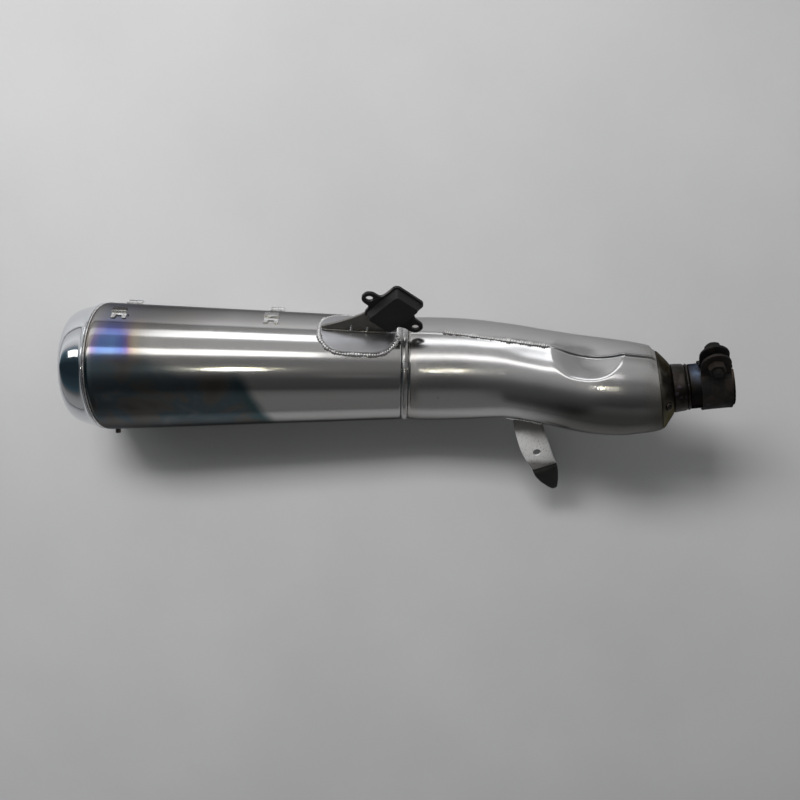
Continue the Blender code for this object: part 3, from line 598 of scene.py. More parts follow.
def mat_stop():
    k = Mat("stop_plate_steel", metallic=0.35, rough=0.34)
    s = k.sep()
    sc = scratches(k, 1000.0, 60.0, axis=1)
    haze = k.noise(46.0, 5.0, 0.6)
    col = k.mix(k.span(haze, 0.40, 0.72, 0.0, 0.6), (0.86, 0.86, 0.86), (0.62, 0.61, 0.60))
    root = k.span(k.math("ADD", s[1], k.math("MULTIPLY", k.math("SUBTRACT", haze, 0.5), 0.012)), -0.044, -0.034)
    col = k.mix(root, col, (0.26, 0.25, 0.24))
    tip = k.span(k.math("ADD", s[1], k.math("MULTIPLY", k.math("SUBTRACT", haze, 0.5), 0.008)), -0.067, -0.075)
    col = k.mix(k.math("MULTIPLY", tip, 0.8), col, (0.10, 0.09, 0.08))
    speck = k.math("MULTIPLY", k.span(k.voronoi(130.0), 0.10, 0.06), k.span(k.noise(50.0, 2.0), 0.52, 0.58))
    col = k.mix(speck, col, (0.07, 0.055, 0.045))
    r = k.span(sc, 0.3, 0.7, 0.24, 0.38, "LINEAR")
    r = k.math("ADD", r, k.math("MULTIPLY", root, 0.25))
    return k.done(col, r, k.bump(sc, 0.2, 0.03))


def mat_inlet():
    """Heat-coloured socket: blue, straw and purple bands over brown scale; the lower half is painted near black as
    shade.
    """
    k = Mat("inlet_heat_steel", rough=0.34)
    k.b.inputs["Specular Tint"].default_value = (0.25, 0.23, 0.22, 1.0)
    s = k.sep()
    haze = k.noise(60.0, 5.0, 0.6)
    g = k.math("ADD", s[0], k.math("MULTIPLY", k.math("SUBTRACT", k.noise(45.0, 3.0), 0.5), 0.010))
    f = k.span(g, 0.255, 0.310, kind="LINEAR")
    tint = k.ramp(f, [
        (0.00, (0.05, 0.045, 0.04)), (0.18, (0.08, 0.078, 0.08)), (0.24, (0.10, 0.13, 0.19)), (0.33, (0.14, 0.185, 0.27)),
        (0.42, (0.14, 0.12, 0.14)), (0.50, (0.20, 0.175, 0.125)), (0.60, (0.15, 0.13, 0.09)), (0.72, (0.11, 0.07, 0.05)),
        (0.84, (0.11, 0.08, 0.06)), (1.00, (0.08, 0.065, 0.055))])
    col = k.mix(k.span(haze, 0.42, 0.66, 0.0, 0.65), tint, (0.055, 0.043, 0.033))
    # painted shade: the lower half is darkened near black for the shaded floor it faces, and made a little rougher
    low = k.span(k.math("ADD", s[1], k.math("MULTIPLY", k.math("SUBTRACT", haze, 0.5), 0.008)), 0.033, 0.019)
    col = k.mix(k.math("MULTIPLY", low, 0.95), col, k.ramp(haze, [(0.35, (0.014, 0.012, 0.011)), (0.7, (0.038, 0.028, 0.021))]))
    r = k.span(haze, 0.3, 0.7, 0.28, 0.48, "LINEAR")
    r = k.math("ADD", r, k.math("MULTIPLY", low, 0.12))
    nrm = k.bump(haze, 0.25, 0.15)
    return k.done(col, r, nrm)


def mat_cone():
    k = Mat("cone_stained_steel", rough=0.36)
    k.b.inputs["Specular Tint"].default_value = (0.35, 0.34, 0.31, 1.0)
    s = k.sep()
    haze = k.noise(70.0, 5.0, 0.6)
    col = k.mix(k.span(haze, 0.40, 0.66), (0.13, 0.122, 0.105), (0.05, 0.044, 0.036))
    olive = k.span(s[1], 0.012, -0.020)
    col = k.mix(k.math("MULTIPLY", olive, 0.6), col, k.ramp(haze, [(0.4, (0.19, 0.18, 0.09)), (0.6, (0.34, 0.33, 0.24))]))
    r = k.span(haze, 0.3, 0.7, 0.26, 0.48, "LINEAR")
    return k.done(col, r, k.bump(haze, 0.3, 0.15))


def mat_rust(name="clamp_rusted"):
    k = Mat(name, metallic=0.30, rough=0.8)
    n = k.noise(180.0, 6.0, 0.65)
    m = k.noise(60.0, 4.0, 0.6)
    col = k.mix(k.span(m, 0.44, 0.62), (0.005, 0.0048, 0.0047), (0.016, 0.012, 0.010))
    col = k.mix(k.span(n, 0.56, 0.72, 0.0, 0.45), col, (0.036, 0.026, 0.020))
    worn = k.span(k.pointiness(), 0.55, 0.64, 0.0, 0.35)
    col = k.mix(worn, col, (0.09, 0.082, 0.078))
    r = k.span(n, 0.3, 0.7, 0.55, 0.9, "LINEAR")
    lumps = k.bump(m, 0.5, 0.9)
    return k.done(col, r, k.bump(n, 0.6, 0.3, lumps))


def mat_black():
    k = Mat("black_satin_paint", metallic=0.0, rough=0.42)
    n = k.noise(260.0, 4.0, 0.6)
    m = k.noise(40.0, 5.0, 0.6)
    col = k.mix(k.span(m, 0.50, 0.75, 0.0, 0.5), (0.006, 0.006, 0.0065), (0.020, 0.019, 0.018))
    worn = k.math("MULTIPLY", k.span(k.pointiness(), 0.535, 0.60), k.span(m, 0.45, 0.60))
    col = k.mix(k.math("MULTIPLY", worn, 0.6), col, (0.13, 0.12, 0.115))
    r = k.span(m, 0.35, 0.7, 0.46, 0.66, "LINEAR")
    return k.done(col, r, k.bump(n, 0.12, 0.05))


def mat_rubber():
    k = Mat("black_rubber", metallic=0.0, rough=0.72)
    n = k.noise(320.0, 4.0, 0.6)
    m = k.noise(70.0, 4.0, 0.6)
    col = k.mix(k.span(m, 0.42, 0.70), (0.006, 0.006, 0.006), (0.018, 0.017, 0.016))
    r = k.span(m, 0.3, 0.7, 0.62, 0.85, "LINEAR")
    return k.done(col, r, k.bump(n, 0.35, 0.12))


def mat_inner():
    k = Mat("inner_sooted_steel", metallic=0.8, rough=0.62)
    n = k.noise(90.0, 5.0, 0.6)
    col = k.mix(k.span(n, 0.40, 0.68), (0.065, 0.055, 0.048), (0.20, 0.155, 0.115))
    r = k.span(n, 0.3, 0.7, 0.50, 0.80, "LINEAR")
    return k.done(col, r, k.bump(n, 0.3, 0.2))


def mat_graphite():
    k = Mat("pressed_graphite", metallic=0.25, rough=0.6)
    n = k.noise(300.0, 4.0, 0.6)
    col = k.mix(k.span(n, 0.4, 0.7), (0.045, 0.045, 0.048), (0.105, 0.105, 0.11))
    r = k.span(n, 0.3, 0.7, 0.46, 0.68, "LINEAR")
    return k.done(col, r, k.bump(n, 0.3, 0.1))


def mat_clip(name, y0, mouth_shade):
    """Clip steel; the mouth, beyond y0, is painted dark as shade under the lip."""
    k = Mat(name, rough=0.28)
    n = k.noise(160.0, 4.0, 0.6)
    s = k.sep()
    col = k.mix(k.span(n, 0.45, 0.7), (0.74, 0.74, 0.74), (0.50, 0.48, 0.46))
    dark = k.span(k.math("ADD", s[1], k.math("MULTIPLY", k.math("SUBTRACT", n, 0.5), 0.002)), y0, y0 + 0.0018)
    col = k.mix(k.math("MULTIPLY", dark, mouth_shade), col, (0.045, 0.042, 0.040))
    r = k.span(n, 0.3, 0.7, 0.20, 0.36, "LINEAR")
    return k.done(col, r, k.bump(n, 0.15, 0.08))


def mat_floor():
    k = Mat("pale_floor", metallic=0.0, rough=0.62)
    a = k.noise(3.0, 5.0, 0.55)
    b = k.noise(160.0, 4.0, 0.6)
    col = k.mix(k.span(a, 0.3, 0.7), (0.498, 0.502, 0.514), (0.543, 0.547, 0.558))
    col = k.mix(k.span(b, 0.5, 0.8, 0.0, 0.10), col, (0.47, 0.47, 0.475))
    return k.done(col, k.span(b, 0.3, 0.7, 0.56, 0.68, "LINEAR"), k.bump(b, 0.06, 0.3))


M = {
    "scale": mat_weld("scaled_steel", (0.062, 0.056, 0.050), (0.026, 0.022, 0.019), 0.9, 0.40),
    "band": mat_weld("band_steel", (0.52, 0.515, 0.51), (0.26, 0.245, 0.23), 0.45, 0.22),
    "bead": mat_weld("bead_steel", (0.86, 0.855, 0.85), (0.42, 0.39, 0.37), 0.40, 0.24), "barrel": mat_barrel(), "front": mat_front(), "chrome": mat_chrome(), "weld": mat_weld("weld_bright", (0.92, 0.915, 0.91), (0.50, 0.47, 0.45), 0.35, 0.26),
    "weld_dark": mat_weld("weld_brown", (0.11, 0.098, 0.088), (0.045, 0.036, 0.030), 0.8, 0.36),
    "pad": mat_pad(), "stay": mat_stay(), "stop": mat_stop(), "inlet": mat_inlet(), "cone": mat_cone(),
    "rust": mat_rust(), "black": mat_black(), "rubber": mat_rubber(), "inner": mat_inner(),
    "graphite": mat_graphite(), 
}


# ---- rear barrel, cap and joint band ----------------------------------------------------------
def barrel_wave(x, psi):
    """The sheet is never a perfect cone: slow waves, and a little pull round the hanger's weld."""
    p = barrel_point(x, 0, psi)
    w = 0.07 * wob(p, 85.0, 3.0) + 0.030 * wob(p, 34.0, 9.0)
    d = math.hypot((x + 44.0) / 62.0, (psi - 30.0) / 62.0)
    w += -0.30 * math.exp(-d * d * 2.2) + 0.12 * math.exp(-d * d * 2.2) * wob(p, 22.0, 5.0)
    fade = min(1.0, (x + 291.6) / 14.0, (-3.4 - x) / 5.0 + 0.2)
    return w * max(0.0, fade)


def build_barrel():
    outer = [(-3.4, -1.2), (-3.5, -0.6), (-4.0, -0.15), (-4.9, 0.0)]
    x = -7.0
    while x > -287.0:
        outer.append((x, 0.0))
        x -= 2.8
    outer += [(-287.6, 0.0), (-289.0, -0.12), (-290.2, -0.45), (-291.1, -1.0), (-291.6, -1.7), (-291.5, -2.3)]
    inner = [(-290.6, -2.2), (-288.6, -1.25)] + [(-288.6 + 28.4 * k, -1.2) for k in range(1, 10)]
    bm = barrel_loop(outer + inner, 208, wave=lambda x, psi: barrel_wave(x, psi))
    piece(bm, "barrel_skin", M["barrel"], nodes=["rear_shell"], sharp=50)

    def bead(x, psi):
        return 0.10 * math.sin(math.radians(psi) * 96) * 0.5 + 0.10 * wob(barrel_point(x, 0, psi), 9.0, 2.0)
    prof = [(-291.9, -3.0), (-291.9, -2.0), (-292.2, -1.5), (-292.8, -1.25), (-293.4, -1.5), (-293.7, -2.1), (-293.7, -3.0)]
    piece(barrel_loop(prof, 288, wave=bead), "cap_seam_bead", M["bead"], nodes=["rear_cap_seam_bead"],
          sharp=60)

    outer = [(-294.0, -2.5), (-294.0, -1.7), (-294.4, -1.15), (-295.1, -1.05), (-295.8, -1.5), (-296.6, -2.3), (-298.4, -2.9),
             (-301.6, -3.7), (-305.0, -4.65), (-308.4, -5.75), (-311.6, -6.95), (-314.4, -8.2), (-316.6, -9.5),
             (-318.4, -11.0), (-319.8, -12.7), (-320.6, -14.3), (-320.75, -15.4), (-320.3, -16.2), (-319.6, -16.4)]
    inner = [(-318.7, -16.3), (-318.0, -15.5), (-317.6, -14.2), (-316.4, -12.6), (-313.4, -10.2), (-309.0, -8.0),
             (-304.2, -6.4), (-299.0, -5.0), (-294.0, -3.8)]
    piece(barrel_loop(outer + inner, 224), "end_cap", M["chrome"], nodes=["rear_cap"], sharp=60)

    f = Frame(vec(0, 0, R0), (1, 0, 0))

    def ripple(s, psi):
        return (0.10 * wob(f.at(s, 50, psi), 7.0, 4.0) + 0.05 * math.sin(math.radians(psi) * 120)) * (1 if s * s < 4 else 0.3)
    prof = [(-3.0, 48.9), (-3.0, 49.8), (-2.75, 50.5), (-2.2, 51.0), (-1.3, 51.4), (0.0, 51.6), (1.3, 51.4), (2.2, 51.0),
            (2.75, 50.5), (3.0, 49.8), (3.0, 48.9)]
    piece(revolve(f, prof, 256, wave=ripple), "joint_band", M["band"], nodes=["mid_joint_band"], sharp=60)


# ---- front chamber ----------------------------------------------------------------------------
SEAM_KNOTS = [(3.4, 51.0), (43.5, 49.3), (65.5, 47.6), (88.5, 46.0), (112.0, 46.2), (139.0, 48.2), (151.0, 49.6), (170.0, 50.6),
              (200.0, 50.8), (212.0, 51.2), (223.0, 52.6), (236.0, 55.5)]


def seam(x):
    return catmull([k[1] for k in SEAM_KNOTS], [k[0] for k in SEAM_KNOTS], x)


def lip_height(x):
    """Height of the turned-out edges that the two shells are joined by."""
    a = 0.35 + 2.1 * smooth01((x - 139.0) / 16.0)
    return a - 1.5 * smooth01((x - 229.0) / 6.0)


DENT_X, DENT_HALF, DENT_ARC = 170.5, 31.5, 31.5


def dent(x, psi):
    """The pressed hollow beside the seam: a crisp rim, then an almost straight run down to the seam."""
    r = front_radius(x)
    arc = math.radians(seam(x) - psi) * r
    u = (x - DENT_X) / DENT_HALF
    if arc >= 0:
        v = arc / DENT_ARC
        rho = (abs(u) ** 2.25 + abs(v) ** 2.25) ** (1 / 2.25)
        if rho >= 1:
            return 0.0
        e = (1.0 - rho) * DENT_ARC
        run = 1.0 - rho ** 1.95
        # the rear side starts gently, the lower and front sides are sharply folded
        fold = 1.7 + 5.0 * smooth01((-u - 0.30) / 0.5)
        return -9.0 * run * (1.0 - math.exp(-e / fold))
    top = dent(x, seam(x) - 0.001)
    return top * (1.0 - smooth01(-arc / 45.0))


def front_wave(x, psi):
    fr = front_centre(x)
    p = fr + Vector((0, math.sin(math.radians(psi)), math.cos(math.radians(psi)))) * front_radius(x)
    w = 0.10 * wob(p, 60.0, 11.0) + 0.05 * wob(p, 26.0, 2.0)
    # sheet pulled by the stop's weld
    d = math.hypot((x - 121.0) / 26.0, (psi + 88.0) / 26.0)
    w += -0.7 * math.exp(-d * d)
    # the sheet runs almost flat between the seam and the hollow's rear side
    g = math.exp(-((psi - 35.0) / 10.0) ** 2) * smooth01((x - 88.0) / 34.0) * (1.0 - smooth01((x - 136.0) / 16.0))
    w += -0.9 * g
    return w * smooth01((x - 3.4) / 10.0 + 0.1) * smooth01((236.0 - x) / 8.0 + 0.1)


def front_point(x, psi, h=0.0):
    fr, r = front_frame(x), front_radius(x)
    return fr.at(0, r + h + dent(x, psi) + front_wave(x, psi), psi)


def build_shell(name, node, upper):
    xs, x = [], 3.4
    xs = [3.4, 3.6, 4.2, 5.2]
    x = 7.0
    while x < 226.0:
        xs.append(x)
        x += 1.8 if 134.0 < x < 208.0 else 2.4
    xs += [227.5, 229.5, 231.3, 232.8, 234.0, 234.8, 235.2]
    loops = []
    n = 96
    for x in xs:
        r = front_radius(x)
        lip = lip_height(x)
        deg = math.degrees(1.0 / r)
        s0 = seam(x)
        if upper:
            a, b = s0 - 180.0, s0
        else:
            a, b = s0, s0 + 180.0
        end_drop = 0.0
        if x < 5.0:
            end_drop = -0.9 * (1 - smooth01((x - 3.4) / 1.6))
        flat = [(0.12, lip - 0.25), (0.30, lip), (0.95, lip), (1.15, lip - 0.2), (1.25, lip * 0.55), (1.5, lip * 0.2), (2.1, lip * 0.04), (3.0, 0.0)]
        ring = [(a + d * deg, h) for d, h in flat]
        a2, b2 = a + 3.0 * deg, b - 3.0 * deg
        # finer angular steps near the upper seam, where the hollow is
        for k in range(1, n):
            t = k / n
            t = t + 0.12 * math.sin(2 * math.pi * t) / (2 * math.pi) * (-1 if upper else 1)
            ring.append((a2 + (b2 - a2) * t, 0.0))
        ring += [(b - d * deg, h) for d, h in reversed(flat)]
        pts = [front_point(x, psi, h + end_drop) for psi, h in ring]
        m = 40
        pts += [front_point(x, b - 0.12 * deg - (b - a - 0.24 * deg) * k / m, -SHELL_T) for k in range(m + 1)]
        loops.append(pts)
    piece(grid_bm(loops, close_u=False), name, M["front"], nodes=[node], sharp=50)


def surface_bead(name, node, pts, ups, radius, mat, seed, sides=12, pitch=5.0, closed=False, squash=0.8,
                 ripple=0.16, lump=0.18):
    m = len(pts)

    def section(i):
        taper = 1.0 if closed else min(1.0, 0.35 + 0.65 * min(i, m - 1 - i) / 3.0)
        return [(u * squash * taper, v * taper) for u, v in bead_section(radius, i, seed, sides, ripple, pitch, lump)]
    bm = sweep(pts, section, closed, up=lambda i: ups[i])
    piece(bm, name, mat, nodes=[node], sharp=75)


def build_front():
    build_shell("front_shell_near", "front_shell_inboard", True)
    build_shell("front_shell_far", "front_shell_outboard", False)
    for name, node, off, seed in (("seam_weld_top", "front_seam_weld_top", 0.0, 1.3), ("seam_weld_under", "front_seam_weld_under", 180.0, 4.1)):
        pts, ups = [], []
        count = 230
        for i in range(count):
            x = 41.0 + (139.0 - 41.0) * i / (count - 1)
            psi = seam(x) + off
            fr = front_frame(x)
            side = 0.35 * wob((x, 0, 0), 9.0, seed)
            pts.append(front_point(x, psi, lip_height(x) - 0.1) + fr.radial(psi + 90) * side)
            ups.append(fr.radial(psi))
        surface_bead(name, node, pts, ups, 2.0, M["weld"], seed, pitch=5.0, ripple=0.42, lump=0.8)

    f = Frame(vec(*INLET_BASE), vec(*INLET_END) - vec(*INLET_BASE))
    prof = [(-0.2, 35.0), (-0.2, 36.0), (0.5, 36.1), (1.4, 35.5), (2.6, 34.2), (4.4, 32.0), (6.6, 29.2), (8.6, 26.6), (10.0, 24.6),
            (10.8, 23.3), (11.2, 22.6), (11.2, 20.9), (9.0, 22.4), (1.2, 33.2)]

    def cone_wave(s, psi):
        return 0.18 * wob(f.at(s, 30, psi), 16.0, 6.0)
    piece(revolve(f, prof, 160, wave=cone_wave), "end_cone", M["cone"], nodes=["front_end_cone"], sharp=50)

    prof = [(11.5, 19.6), (11.5, 21.7), (11.9, 22.3), (13.0, 22.4), (15.4, 22.15), (18.0, 21.9), (20.6, 21.75), (21.8, 21.5),
            (22.7, 21.0), (23.2, 20.3), (23.2, 19.6)]

    def collar_wave(s, psi):
        return 0.20 * wob(f.at(s, 22, psi), 8.0, 3.3) + 0.10 * wob(f.at(s, 22, psi), 3.5, 1.1)
    piece(revolve(f, prof, 144, wave=collar_wave), "inlet_collar_ring", M["scale"], nodes=["inlet_collar"], sharp=60)

    def bead_wave(s, psi):
        return 0.16 * math.sin(math.radians(psi) * 44) * (1 if 24 < s < 25.4 else 0) + 0.18 * wob(f.at(s, 21, psi), 5.0, 8.0)
    prof = [(23.5, 19.4), (23.5, 20.2), (23.8, 20.9), (24.4, 21.35), (25.0, 21.3), (25.6, 20.8), (25.9, 20.2), (25.9, 19.4)]
    piece(revolve(f, prof, 220, wave=bead_wave), "inlet_ring_weld", M["scale"], nodes=["inlet_weld_bead"], sharp=60)

    length = (vec(*INLET_END) - vec(*INLET_BASE)).length
    prof = [(26.2, 19.05), (26.2, 20.2), (26.6, 20.6)] + [(26.6 + 1.8 * k, 20.6) for k in range(1, 20)] + \
           [(length - 1.0, 20.6), (length - 0.4, 20.45), (length, 20.0), (length, 19.4), (length - 0.5, 19.0)] + \
           [(length - 6.0 * k, 19.0) for k in range(1, 6)]
    pipe = piece(revolve(f, prof, 120), "inlet_socket", M["inlet"], nodes=["inlet_pipe"], sharp=50)
    for psi in (48.0, 228.0):
        e = f.radial(psi)
        side = f.t.cross(e)
        out = rounded([(length - 21.0, -1.1), (length + 2.0, -1.1), (length + 2.0, 1.1), (length - 21.0, 1.1)], [1.0, 0, 0, 1.0], 5)
        cut(pipe, prism_bm(out, f.t, side, e, f.o, 15.0, 24.0))

    g0 = length - 25.0
    prof = [(g0, 17.2), (g0 + 0.4, 17.0), (length - 3.4, 17.0), (length - 3.0, 17.3), (length - 3.0, 18.4), (length - 3.4, 18.7),
            (g0 + 0.4, 18.7), (g0, 18.5)]
    for k in range(3):
        pass
    piece(revolve(f, prof, 120, wave=lambda s, p: 0.05 * wob(f.at(s, 18, p), 4.0, 1.0) if abs(s - length + 3) < 0.5 else 0.0),
          "graphite_ring", M["graphite"], body="gasket", nodes=["inlet_gasket"], sharp=50)

    prof = [(-58.0, 17.4), (-58.0, 18.9), (25.6, 18.9), (25.6, 17.4)]
    piece(revolve(f, prof, 96), "core_pipe", M["inner"], nodes=["inlet_core_pipe"], sharp=40)

    c = Frame(f.at(5.2, 30.65, -22.0), f.radial(-22.0) * 0.595 + f.t * 0.804)
    prof = [(0.0, 2.0), (0.0, 4.1), (0.5, 4.2), (1.2, 3.9), (1.8, 3.4), (2.0, 3.0), (1.9, 2.4), (1.5, 2.0)]
    piece(revolve(c, prof, 48, wave=lambda s, p: 0.12 * wob(c.at(s, 3, p), 2.5, 5.0)), "drain_collar", M["weld_dark"],
          nodes=["front_drain_collar"], sharp=50)
    return f, length


# ---- clamp --------------------------------------------------------------------------------------
def build_clamp(f, length):
    width, r_in, t = 26.0, 20.95, 1.8
    centre = f.o + f.t * (length - 2.0 - width / 2)
    psi0 = 48.0
    er, et = f.radial(psi0), f.radial(psi0 + 90.0)
    r_mid = r_in + t / 2
    gap, ear_t, ear_r, rho_c = 8.0, 2.6, 12.8, 33.2
    half = gap / 2 + ear_t / 2
    strip = []
    top = rho_c + ear_r - 0.1
    rhos = [top, top - 0.35, top - 1.1, top - 2.2, top - 3.8, top - 5.8, top - 8.4, top - 11.0, rho_c - 1.0, rho_c - 4.0, 27.6, 25.6]

    def ear_half(rho):
        if rho >= rho_c:
            return math.sqrt(max(ear_r ** 2 - (rho - rho_c) ** 2, 1.2 ** 2))
        return ear_r
    for rho in rhos:
        strip.append((er * rho + et * half, et, ear_half(rho), ear_t / 2, 0))
    a0 = math.degrees(math.asin((half + 1.8) / r_mid))
    # the strap leaves the ear on a small radius
    strip.append((er * 24.0 + et * (half + 0.25), (et * 0.9 + er * 0.2).normalized(), 12.9, 1.15, 0))
    n = 72
    for k in range(n + 1):
        psi = psi0 + a0 + (360.0 - 2 * a0) * k / n
        strip.append((f.radial(psi) * r_mid, f.radial(psi), width / 2, t / 2, 1))
    strip.append((er * 24.0 - et * (half + 0.25), (-et * 0.9 + er * 0.2).normalized(), 12.9, 1.15, 0))
    for rho in reversed(rhos):
        strip.append((er * rho - et * half, -et, ear_half(rho), ear_t / 2, 0))
    loops = []
    for p, nrm, hw, ht, band in strip:
        c = centre + p
        rim = 0.45 if band else 0.0
        loop = []
        for q, (s, h) in enumerate([(-1, 0.0), (-0.985, 0.9), (-0.93, 1.0), (-0.80, 0.75), (-0.4, 0.70), (0.0, 0.70), (0.4, 0.70),
                                    (0.80, 0.75), (0.93, 1.0), (0.985, 0.9), (1, 0.0)]):
            hh = h if band else (1.0 if 0 < q < 10 else 0.0)
            if not band and q in (1, 9):
                hh = 0.72
            loop.append(c + f.t * (hw * s) + nrm * (ht * hh))
        for q, (s, h) in enumerate([(0.985, -0.8), (0.9, -1.0), (0.0, -1.0), (-0.9, -1.0), (-0.985, -0.8)]):
            loop.append(c + f.t * (hw * s) + nrm * (ht * h))
        loops.append(loop)
    band = piece(grid_bm(loops, close_u=False), "clamp_strap", M["rust"], body="clamp", nodes=["clamp_band"], sharp=48)
    cut(band, rod_bm(centre + er * rho_c - et * 14.0, et, 28.0, 4.5, 40))

    bolt_c = centre + er * rho_c
    fn = Frame(bolt_c, et)
    outer = gap / 2 + ear_t
    hexr = 13.0 / 2 / math.cos(math.pi / 6)

    def hexed(s0, s1, r_in2, phase, flange=None, dome=0.0):
        """Hexagon with chamfered corners round a bore, or solid where the bore is None."""
        rows = []
        segs = 72

        def rad(psi, cap):
            a = (psi - phase) % 60.0 - 30.0
            return min(hexr * math.cos(math.radians(30.0)) / math.cos(math.radians(a)), cap)
        prof = [(s0, hexr * 0.90), (s0 + 0.5, hexr * 0.97), (s0 + 0.9, hexr), (s1 - 0.9, hexr), (s1 - 0.5, hexr * 0.965), (s1 - 0.1, hexr * 0.905),
                (s1, hexr * 0.86)]
        for k in range(segs):
            psi = 360.0 * k / segs
            row = []
            if r_in2:
                row += [fn.at(s0, r_in2 + 0.4, psi)]
            for s, cap in prof:
                row.append(fn.at(s, rad(psi, cap), psi))
            if r_in2:
                row += [fn.at(s1, r_in2 + 0.5, psi), fn.at(s1 - 0.5, r_in2, psi), fn.at(s0 + 0.5, r_in2, psi)]
            rows.append(row)
        return rows

    n0 = -(outer + 0.3 + 6.5)
    piece(grid_bm(hexed(n0, n0 + 6.5, 4.3, 0.0)), "captive_nut", M["rust"], body="clamp", nodes=["clamp_nut"], sharp=30)

    w0 = outer + 0.3
    prof = [(w0, 4.5), (w0, 7.7), (w0 + 0.3, 8.0), (w0 + 1.3, 8.0), (w0 + 1.6, 7.7), (w0 + 1.6, 4.5)]
    piece(revolve(fn, prof, 72), "bolt_washer", M["rust"], body="clamp_washer", nodes=["clamp_washer"], sharp=35)

    h0 = w0 + 1.6 + 0.3
    tail = -(outer + 0.3 + 6.5 + 5.0)
    # forged head with a shallow dish, then threaded shank, turned as one lathe profile with a hexagonal part
    segs = 72
    rows = []
    thread = []
    s = tail
    thread.append((tail, 2.6))
    thread.append((tail + 0.7, 3.5))
    s = tail + 1.0
    while s < 3.0:
        thread += [(s, 3.45), (s + 0.5, 4.0), (s + 0.75, 4.0)]
        s += 1.25
    thread += [(s, 4.0), (h0 - 0.2, 4.0)]
    for k in range(segs):
        psi = 360.0 * k / segs

        def rad(cap):
            a = psi % 60.0 - 30.0
            return min(hexr * math.cos(math.radians(30.0)) / math.cos(math.radians(a)), cap)
        row = [fn.at(tail, 0.6, psi)] + [fn.at(q, r, psi) for q, r in thread]
        row += [fn.at(h0, 4.2, psi), fn.at(h0, rad(hexr * 0.93), psi), fn.at(h0 + 0.5, rad(hexr), psi), fn.at(h0 + 5.6, rad(hexr), psi),
                fn.at(h0 + 6.4, rad(hexr * 0.95), psi), fn.at(h0 + 6.9, rad(hexr * 0.86), psi), fn.at(h0 + 6.95, 5.0, psi),
                fn.at(h0 + 6.2, 4.4, psi), fn.at(h0 + 6.1, 0.6, psi)]
        rows.append(row)
    bm = bmesh.new()
    vs = [[bm.verts.new(p) for p in row] for row in rows]
    m = len(vs[0])
    for k in range(segs):
        a, b = vs[k], vs[(k + 1) % segs]
        for i in range(m - 1):
            bm.faces.new((a[i], a[i + 1], b[i + 1], b[i]))
    bm.faces.new([row[0] for row in vs][::-1])
    bm.faces.new([row[-1] for row in vs])
    piece(bm, "clamp_screw", M["rust"], body="clamp_bolt", nodes=["clamp_bolt"], sharp=30)


# ---- hanger -------------------------------------------------------------------------------------
PAD_X, PAD_PSI, PAD_HALF_X, PAD_HALF_ARC, PAD_CORNER = -44.0, 50.0, 36.0, 25.0, 22.0


def pad_edge(m, off):
    """Points round the pad's outline, moved out by off."""
    half_x, half_a, corner = PAD_HALF_X + off, PAD_HALF_ARC + off, PAD_CORNER + off
    out = []
    for cx, ca, a0 in ((half_x - corner, half_a - corner, 0), (-(half_x - corner), half_a - corner, 90),
                       (-(half_x - corner), -(half_a - corner), 180), (half_x - corner, -(half_a - corner), 270)):
        for k in range(m):
            a = math.radians(a0 + 90.0 * k / (m - 1))
            out.append((PAD_X + cx + corner * math.cos(a), ca + corner * math.sin(a)))
    # even spacing
    pts = [Vector((x, y, 0)) for x, y in out]
    pts.append(pts[0])
    total = sum((b - a).length for a, b in zip(pts, pts[1:]))
    n = int(total / 0.55)
    even, acc, i = [], 0.0, 0
    for k in range(n):
        want = total * k / n
        while acc + (pts[i + 1] - pts[i]).length < want:
            acc += (pts[i + 1] - pts[i]).length
            i += 1
        seg = (pts[i + 1] - pts[i]).length
        q = pts[i].lerp(pts[i + 1], (want - acc) / seg if seg else 0)
        even.append((q.x, q.y))
    return even


def on_barrel(x, arc, h):
    return barrel_point(x, h + barrel_wave(x, PAD_PSI), PAD_PSI + math.degrees(arc / barrel_radius(x)))


